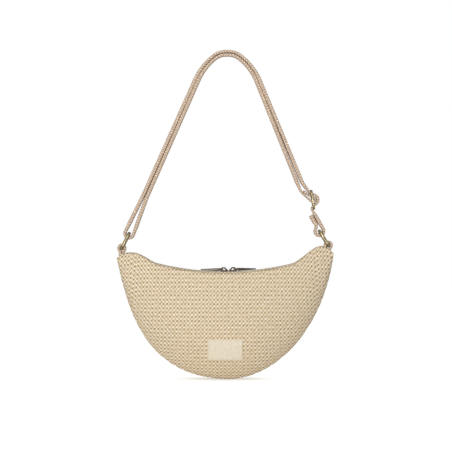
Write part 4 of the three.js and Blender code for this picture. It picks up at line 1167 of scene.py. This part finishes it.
# The sewn end in the adjuster: the return run bends towards the middle bar, goes round it and comes back
right_run = belt_straight(outer_bend, outer_arch[0])
first_leg = right_run.start - right_run.along * SEWN_DROP + right_run.normal * LAYER_STEP
loop_away = unit(first_leg - ADJUSTER_PLACE)
leg_out = flat(loop_away[1], -loop_away[0])
last_leg = first_leg + leg_out * SEWN_STEP
bend_way = unit(-right_run.along - loop_away)
leg_bend = (first_leg + flat(-bend_way[1], bend_way[0]) * SEWN_BEND, SEWN_BEND, 1)
strap_bars = [(tail_end, 0, 1), tail_bend, ring_right, bottom_turn, middle_turn, top_turn, outer_bend]
strap_bars += outer_arch + [left_bend, ring_left, inner_bend] + inner_arch
strap_line = belt_path(strap_bars + [leg_bend, sewn_turn, (last_leg, 0, 1)])
strap_length = distances(strap_line)
print("strap", round(float(strap_length[-1])), "mm from its sewn end to its sewn loop")

# %% [markdown]
# Webbing is thick, with blunt selvedges and a slight swell between them, and it is pressed thinner where it
# runs over the crown and round the rings. It is woven in herringbone: diagonal ribs that change sides every
# 5 mm. The ribs are relief again, and the material colours them pinkish beige on the crest and darker in
# the groove: painted highlight and painted shade that follow the ribs. Undyed cotton is matt, with a fuzzy
# rather than a shiny edge.

# %% Herringbone webbing
RIB_PITCH, RIB_FOLD, RIB_RELIEF = 3.6, 5.0, 0.16


def herringbone(s, t):
    """Height of the ribs from 0 to 1; s runs along the webbing, t round its section from the front edge."""
    folded = np.abs((t + RIB_FOLD) % (2 * RIB_FOLD) - RIB_FOLD)
    return 0.5 + 0.5 * np.cos(2 * np.pi * (s + folded) / RIB_PITCH)


webbing, shader = new_material("cotton webbing, herringbone woven", Roughness=0.85, Specular_IOR_Level=0.2)
woven = add_node(webbing, "Attribute", {"attribute_name": "weave"}).outputs["Vector"]
rib = add_node(webbing, "SeparateXYZ", Vector=woven).outputs["Z"]
# Yarns differ over about 2 mm
yarn = add_node(webbing, "TexNoise", {"noise_dimensions": "2D", "Scale": 0.5, "Detail": 3.0}, Vector=woven)
yarn_tone = add_node(webbing, "MapRange", {"From Min": 0.25, "From Max": 0.75, "To Min": -0.2, "To Max": 0.2},
                     Value=yarn.outputs[0])
rib_shade_tone = add_node(webbing, "Math", {"operation": "ADD"}, _0=rib, _1=yarn_tone.outputs[0])
# Dark in the groove and light on the crest of each rib: painted shade and painted highlight
beige = [(0.0, "#957f69"), (0.4, "#c3aa92"), (1.0, "#ead6c2")]
colour = add_node(webbing, "ValToRGB", {"stops": beige}, Fac=rib_shade_tone.outputs[0])
connect(webbing, colour.outputs["Color"], shader.inputs["Base Color"])
# Threads of about 0.45 mm
thread = add_node(webbing, "TexNoise", {"noise_dimensions": "2D", "Scale": 2.2, "Detail": 2.0}, Vector=woven)
bump = add_node(webbing, "Bump", {"Strength": 0.4, "Distance": 0.2 * MM}, Height=thread.outputs[0])
connect(webbing, bump.outputs[0], shader.inputs["Normal"])
print("herringbone ribs", RIB_PITCH, "mm apart")

# %% Webbing along a line
FACE_FROM, FACE_TO, FACE_RELIEF = 2.0, 3.5, 0.4  # round from the edge, the ribs get lower on the face
SELVEDGE, SELVEDGE_SHARE, SELVEDGE_POWER, FACE_SWELL = 1.7, 0.9, 0.65, 0.12
SELVEDGE_STEPS, FACE_STEPS = 11, 21
STATION, TANGENT_REACH = 0.8, 0.05  # between cross-sections, and how far the direction is looked for


def section(half):
    """Offsets through the webbing and across it: blunt selvedges, thickest in the middle."""
    edge = np.linspace(-np.pi / 2, np.pi / 2, SELVEDGE_STEPS)
    thin = half * SELVEDGE_SHARE
    blunt = thin * np.sign(edge) * np.abs(np.sin(edge)) ** SELVEDGE_POWER
    depth = SELVEDGE * np.abs(np.cos(edge)) ** SELVEDGE_POWER
    rim = WEBBING_WIDTH / 2 - SELVEDGE
    face = np.linspace(-rim, rim, FACE_STEPS)[1:-1]
    crown = thin + (half * (1 + FACE_SWELL) - thin) * (1 - (face / rim) ** 2)
    through = np.concatenate([blunt, crown, blunt[::-1], -crown[::-1]])
    across = np.concatenate([-rim - depth, face, rim + depth[::-1], face[::-1]])
    return through, across


def band(name, line, start, end, thickness):
    """Webbing along a stretch of a line; thickness gives millimetres at a distance along it."""
    length = distances(line)
    s = np.linspace(start, end, max(4, math.ceil((end - start) / STATION)) + 1)
    place, ahead, behind = (points_at(np.clip(s + step, 0, length[-1]), length, line)
                            for step in (0, TANGENT_REACH, -TANGENT_REACH))
    along = unit(ahead - behind)
    normal = np.stack([-along[:, 1], along[:, 0]], -1)
    through, across = np.array([section(half) for half in thickness(s) / 2]).transpose(1, 0, 2)
    around = np.hypot(*(np.diff(side, axis=1, append=side[:, :1]) for side in (through, across)))
    t = np.cumsum(around, axis=1) - around
    t = t - t[:, [SELVEDGE_STEPS // 2]]  # zero in the middle of the front edge
    ribs = herringbone(s[:, None], t)
    x, z = (place[:, None] + normal[:, None] * through[..., None]).transpose(2, 0, 1)
    points = np.stack([x, across, z], -1)
    looped = np.concatenate([points[:, -1:], points, points[:, :1]], axis=1)
    forward = np.insert(along, 1, 0.0, axis=1)
    out = unit(np.cross(looped[:, 2:] - looped[:, :-2], forward[:, None]))
    facing = np.sign((out * (points - points.mean(axis=1, keepdims=True))).sum())
    relief = RIB_RELIEF * np.interp(np.abs(t), [FACE_FROM, FACE_TO], [1.0, FACE_RELIEF])
    points = points + facing * out * (relief * (ribs - 0.5))[..., None]
    part = outward_faces((points.reshape(-1, 3), tube_faces(*points.shape[:2])))
    weave = np.stack([np.broadcast_to(s[:, None], t.shape), t, ribs], -1).reshape(-1, 3)
    return add_mesh(name, *part, webbing, weave)


print("a section of webbing has", len(section(WEBBING / 2)[0]), "points")

# %% [markdown]
# The strap crosses two joints: the bag swings on its rings, and the adjuster slides along the strap. So it is
# cut where one kind of motion ends and the next begins. The crown and the left side ride on the strap, the
# turn through the adjuster and the sewn loop ride on the adjuster, and the loops on the rings and the right
# side are pieces of their own.

# %% Cuts in the strap
LOOP_LEG_LEFT, LOOP_LEG_RIGHT, ADJUSTER_LEAD, RIGHT_SPLIT = 62.0, 14.0, 9.0, 130.0
up_from_top = belt_straight(top_turn, outer_bend)
turn_in = standing.end - standing.along * ADJUSTER_LEAD
turn_out = up_from_top.start + up_from_top.along * ADJUSTER_LEAD
split_outer = right_run.start + right_run.along * RIGHT_SPLIT
split_inner = split_outer + right_run.normal * LAYER_STEP
loop_leg = standing.start + standing.along * LOOP_LEG_RIGHT
loop_top = left_run.end - left_run.along * (LOOP_LEG_LEFT - MEETING)


def strap_at(place, after=0.0):
    """Distance along the strap of its point nearest to a place, past a given distance."""
    fine = np.arange(after, strap_length[-1], 0.1)
    points = points_at(fine, strap_length, strap_line)
    return float(fine[np.argmin(np.linalg.norm(points - place, axis=1))])


cut_loop_right = strap_at(loop_leg, strap_at(RING_UPPER["right"]))
cut_turn_in = strap_at(turn_in, cut_loop_right)
cut_turn_out = strap_at(turn_out, cut_turn_in + 30)
cut_split = strap_at(split_outer, cut_turn_out)
cut_left_down = strap_at(loop_top, cut_split)
cut_left_up = strap_at(loop_top + left_run.normal * LAYER_STEP, cut_left_down + 40)
cut_split_inner = strap_at(split_inner, cut_left_up + 100)
cut_sewn = strap_at(first_leg, cut_split_inner)
strap_end = float(strap_length[-1])
print("the crown of the strap is cut at", round(cut_split), "and", round(cut_left_down), "mm")

# %% Strap pieces
CROWN_PRESS, PRESS_FROM, PRESS_TO = 0.83, crown_height - 10.0, CROWN_TOP - 12.0  # share left on the arch
RING_PRESS, RING_NEAR, RING_FAR = 0.83, 1.0, 8.0  # share left on a ring, and how far off it ends
TURN_IN, TURN_BARS, TURN_OUT = 4.4, 4.2, 4.2  # thickness before, between and after the adjuster's bars
TURN_EASE, BARS_OUT, BARS_IN, OUT_EASE, SEWN_EASE = 8, 9, 4, 14, 16  # over which stretches it changes


def strap_thickness(s):
    middle = (cut_turn_in + cut_turn_out) / 2
    sizes = {
        cut_loop_right: WEBBING, cut_turn_in: TURN_IN, cut_turn_in + TURN_EASE: PINCHED,
        middle - BARS_OUT: PINCHED, middle - BARS_IN: TURN_BARS,
        middle + BARS_IN: TURN_BARS, middle + BARS_OUT: PINCHED,
        cut_turn_out - TURN_EASE: PINCHED, cut_turn_out: TURN_OUT, cut_turn_out + OUT_EASE: WEBBING,
        cut_sewn - SEWN_EASE: WEBBING, cut_sewn: PINCHED,
    }
    place = points_at(s, strap_length, strap_line)
    pressed = np.interp(place[:, 1], [PRESS_FROM, PRESS_TO], [1.0, CROWN_PRESS])
    for ring in RING_UPPER.values():
        away = np.linalg.norm(place - ring, axis=1) - LOOP_RADIUS
        pressed *= np.interp(away, [RING_NEAR, RING_FAR], [RING_PRESS, 1.0])
    return np.interp(s, list(sizes), list(sizes.values())) * pressed


def strap_piece(name, node, start, end):
    piece = band(name, strap_line, start, end, strap_thickness)
    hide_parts(node)
    return piece


for name, node, start, end, body in (
    ("strap_crown_outer", "strap_outer", cut_split, cut_left_down, "strap"),
    ("strap_crown_inner", "strap_inner", cut_left_up, cut_split_inner, "strap"),
    ("strap_in_adjuster", "adjuster_turn", cut_turn_in, cut_turn_out, "adjuster"),
    ("strap_sewn_loop", "adjuster_loop", cut_sewn, strap_end, "adjuster"),
):
    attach(strap_piece(name, node, start, end), body)
loop_left = strap_piece("strap_round_left_ring", "strap_loop_left", cut_left_down, cut_left_up)
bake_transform(loop_left)
loop_right = strap_piece("strap_round_right_ring", "strap_loop_right", 0.0, cut_loop_right)
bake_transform(loop_right)
standing_piece = strap_piece("strap_to_adjuster", "strap_tail", cut_loop_right, cut_turn_in)
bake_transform(standing_piece)
right_outer = strap_piece("strap_right_main", "strap_right_outer", cut_turn_out, cut_split)
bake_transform(right_outer)
right_inner = strap_piece("strap_right_return", "strap_right_inner", cut_split_inner, cut_sewn)
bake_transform(right_inner)
print("strap in 9 pieces,", round(strap_end), "mm in all")

# %% [markdown]
# Each ring hangs in a tab, a short loop of thinner webbing whose two legs go into the tip of the bag and are
# sewn in there.

# %% Tabs
TAB_SINK = 4.0  # how far the legs go on into the seam
TAB_FOOT = 1.9  # half the way between the two legs there
TAB_PINCH, PINCH_ROOM = 2.0, 0.5  # bend where the legs are pressed together under the ring, if there is room
TAB_RISE, TAB_SLACK, PINCH_SLACK = 0.6, 0.4, 0.1
TAB_SEAM = 0.5  # height of the stitches over the edge of the strip
tab_radius = RING_WIRE / 2 + TAB_SLACK + TAB_WEBBING / 2
pinch_drop = math.sqrt((TAB_PINCH + tab_radius) ** 2 - (TAB_FOOT + TAB_PINCH) ** 2) + PINCH_SLACK
pinch = flat(TAB_FOOT + TAB_PINCH, -pinch_drop)
tab_feet = []
for name, lower in RING_LOWER.items():
    feet = []
    for side in (1, -1):
        x = lower[0] + side * TAB_FOOT
        faces_x = np.clip([x - TAB_WEBBING / 2, x + TAB_WEBBING / 2], -HALF_WIDTH, HALF_WIDTH)
        feet.append(flat(x, float(mouth_edge(faces_x).max()) + STRIP_TOP + TAB_RISE - TAB_SINK))
        tab_feet.append((f"tab_seam_{name}_{'right' if side > 0 else 'left'}",
                         feet[-1] + flat(0, TAB_SINK - TAB_SEAM), flat(side, 0)))
    bars = [(feet[0], 0, 1), (lower, tab_radius, 1), (feet[1], 0, 1)]
    if lower[1] + pinch[1] > feet[0][1] + PINCH_ROOM:
        bars.insert(1, (lower + pinch, TAB_PINCH, -1))
        bars.insert(3, (lower + pinch * flat(-1, 1), TAB_PINCH, -1))
    tab_line = belt_path(bars)
    tab_end = float(distances(tab_line)[-1])
    tab = band("tab_webbing_" + name, tab_line, 0.0, tab_end, lambda s: np.full_like(s, TAB_WEBBING))
    dress(tab, "bag", "tab_" + name)
    print("tab", name, round(tab_end), "mm of webbing")

# %% [markdown]
# Last come the seams that hold the parts: a line of stitches along each side of the zip, a box of stitches
# through each sewn end of the strap, and a narrow box on each leg of the tabs. They use the same stitch
# function as the label, with a thicker thread.

# %% Seams
SEAM_PITCH, SEAM_THREAD, BOX_HALF = 3.2, 0.55, 8.5
SEAM_INSET, SEAM_END, SEAM_PROUD = 2.6, 2.0, 0.15  # from the slot, from the strip's end and over its face
BOX_START, TAIL_BOX, LOOP_BOX, TAB_BOX = 2.0, 9.0, 8.0, 2.0  # from the cut end, and the lengths of the boxes
TAIL_PROUD, LOOP_PROUD, TAB_PROUD = WEBBING / 2 + 0.2, PINCHED / 2 + 0.1, TAB_WEBBING / 2 + 0.15
seam_thread, shader = new_material("bonded polyester thread", Base_Color=linear("#cdb894"), Roughness=0.5)
along = np.linspace(-STRIP_HALF + SEAM_END, STRIP_HALF - SEAM_END, 400)
for name, side in (("zip_seam_front", -1), ("zip_seam_back", 1)):
    line, above = (arc_points(along, side * (STRIP_SLOT / 2 + SEAM_INSET), STRIP_TOP + SEAM_PROUD + lift)
                   for lift in (0, 1))
    stitches(name, line, above - line, SEAM_PITCH, SEAM_THREAD, seam_thread, "bag")


def box_of_stitches(name, start, direction, out, length, proud, body):
    """A rectangle of stitches on a face of webbing, from a place in X and Z along a direction."""
    route = round_a_box(0, -BOX_HALF, length, BOX_HALF)
    place = start + direction * route[:, :1] + out * proud
    line = np.stack([place[:, 0], route[:, 1], place[:, 1]], -1)
    facing = np.broadcast_to([out[0], 0.0, out[1]], line.shape)
    stitches(name, line, facing, SEAM_PITCH, SEAM_THREAD, seam_thread, body)


box_of_stitches("strap_end_seam", tail_end - standing.along * BOX_START, -standing.along, standing.normal,
                TAIL_BOX, TAIL_PROUD, "strap")
box_of_stitches("strap_loop_seam", last_leg - loop_away * BOX_START, -loop_away, leg_out,
                LOOP_BOX, LOOP_PROUD, "adjuster")
for name, foot, out in tab_feet:
    box_of_stitches(name, foot, flat(0, 1), out, TAB_BOX, TAB_PROUD, "bag")
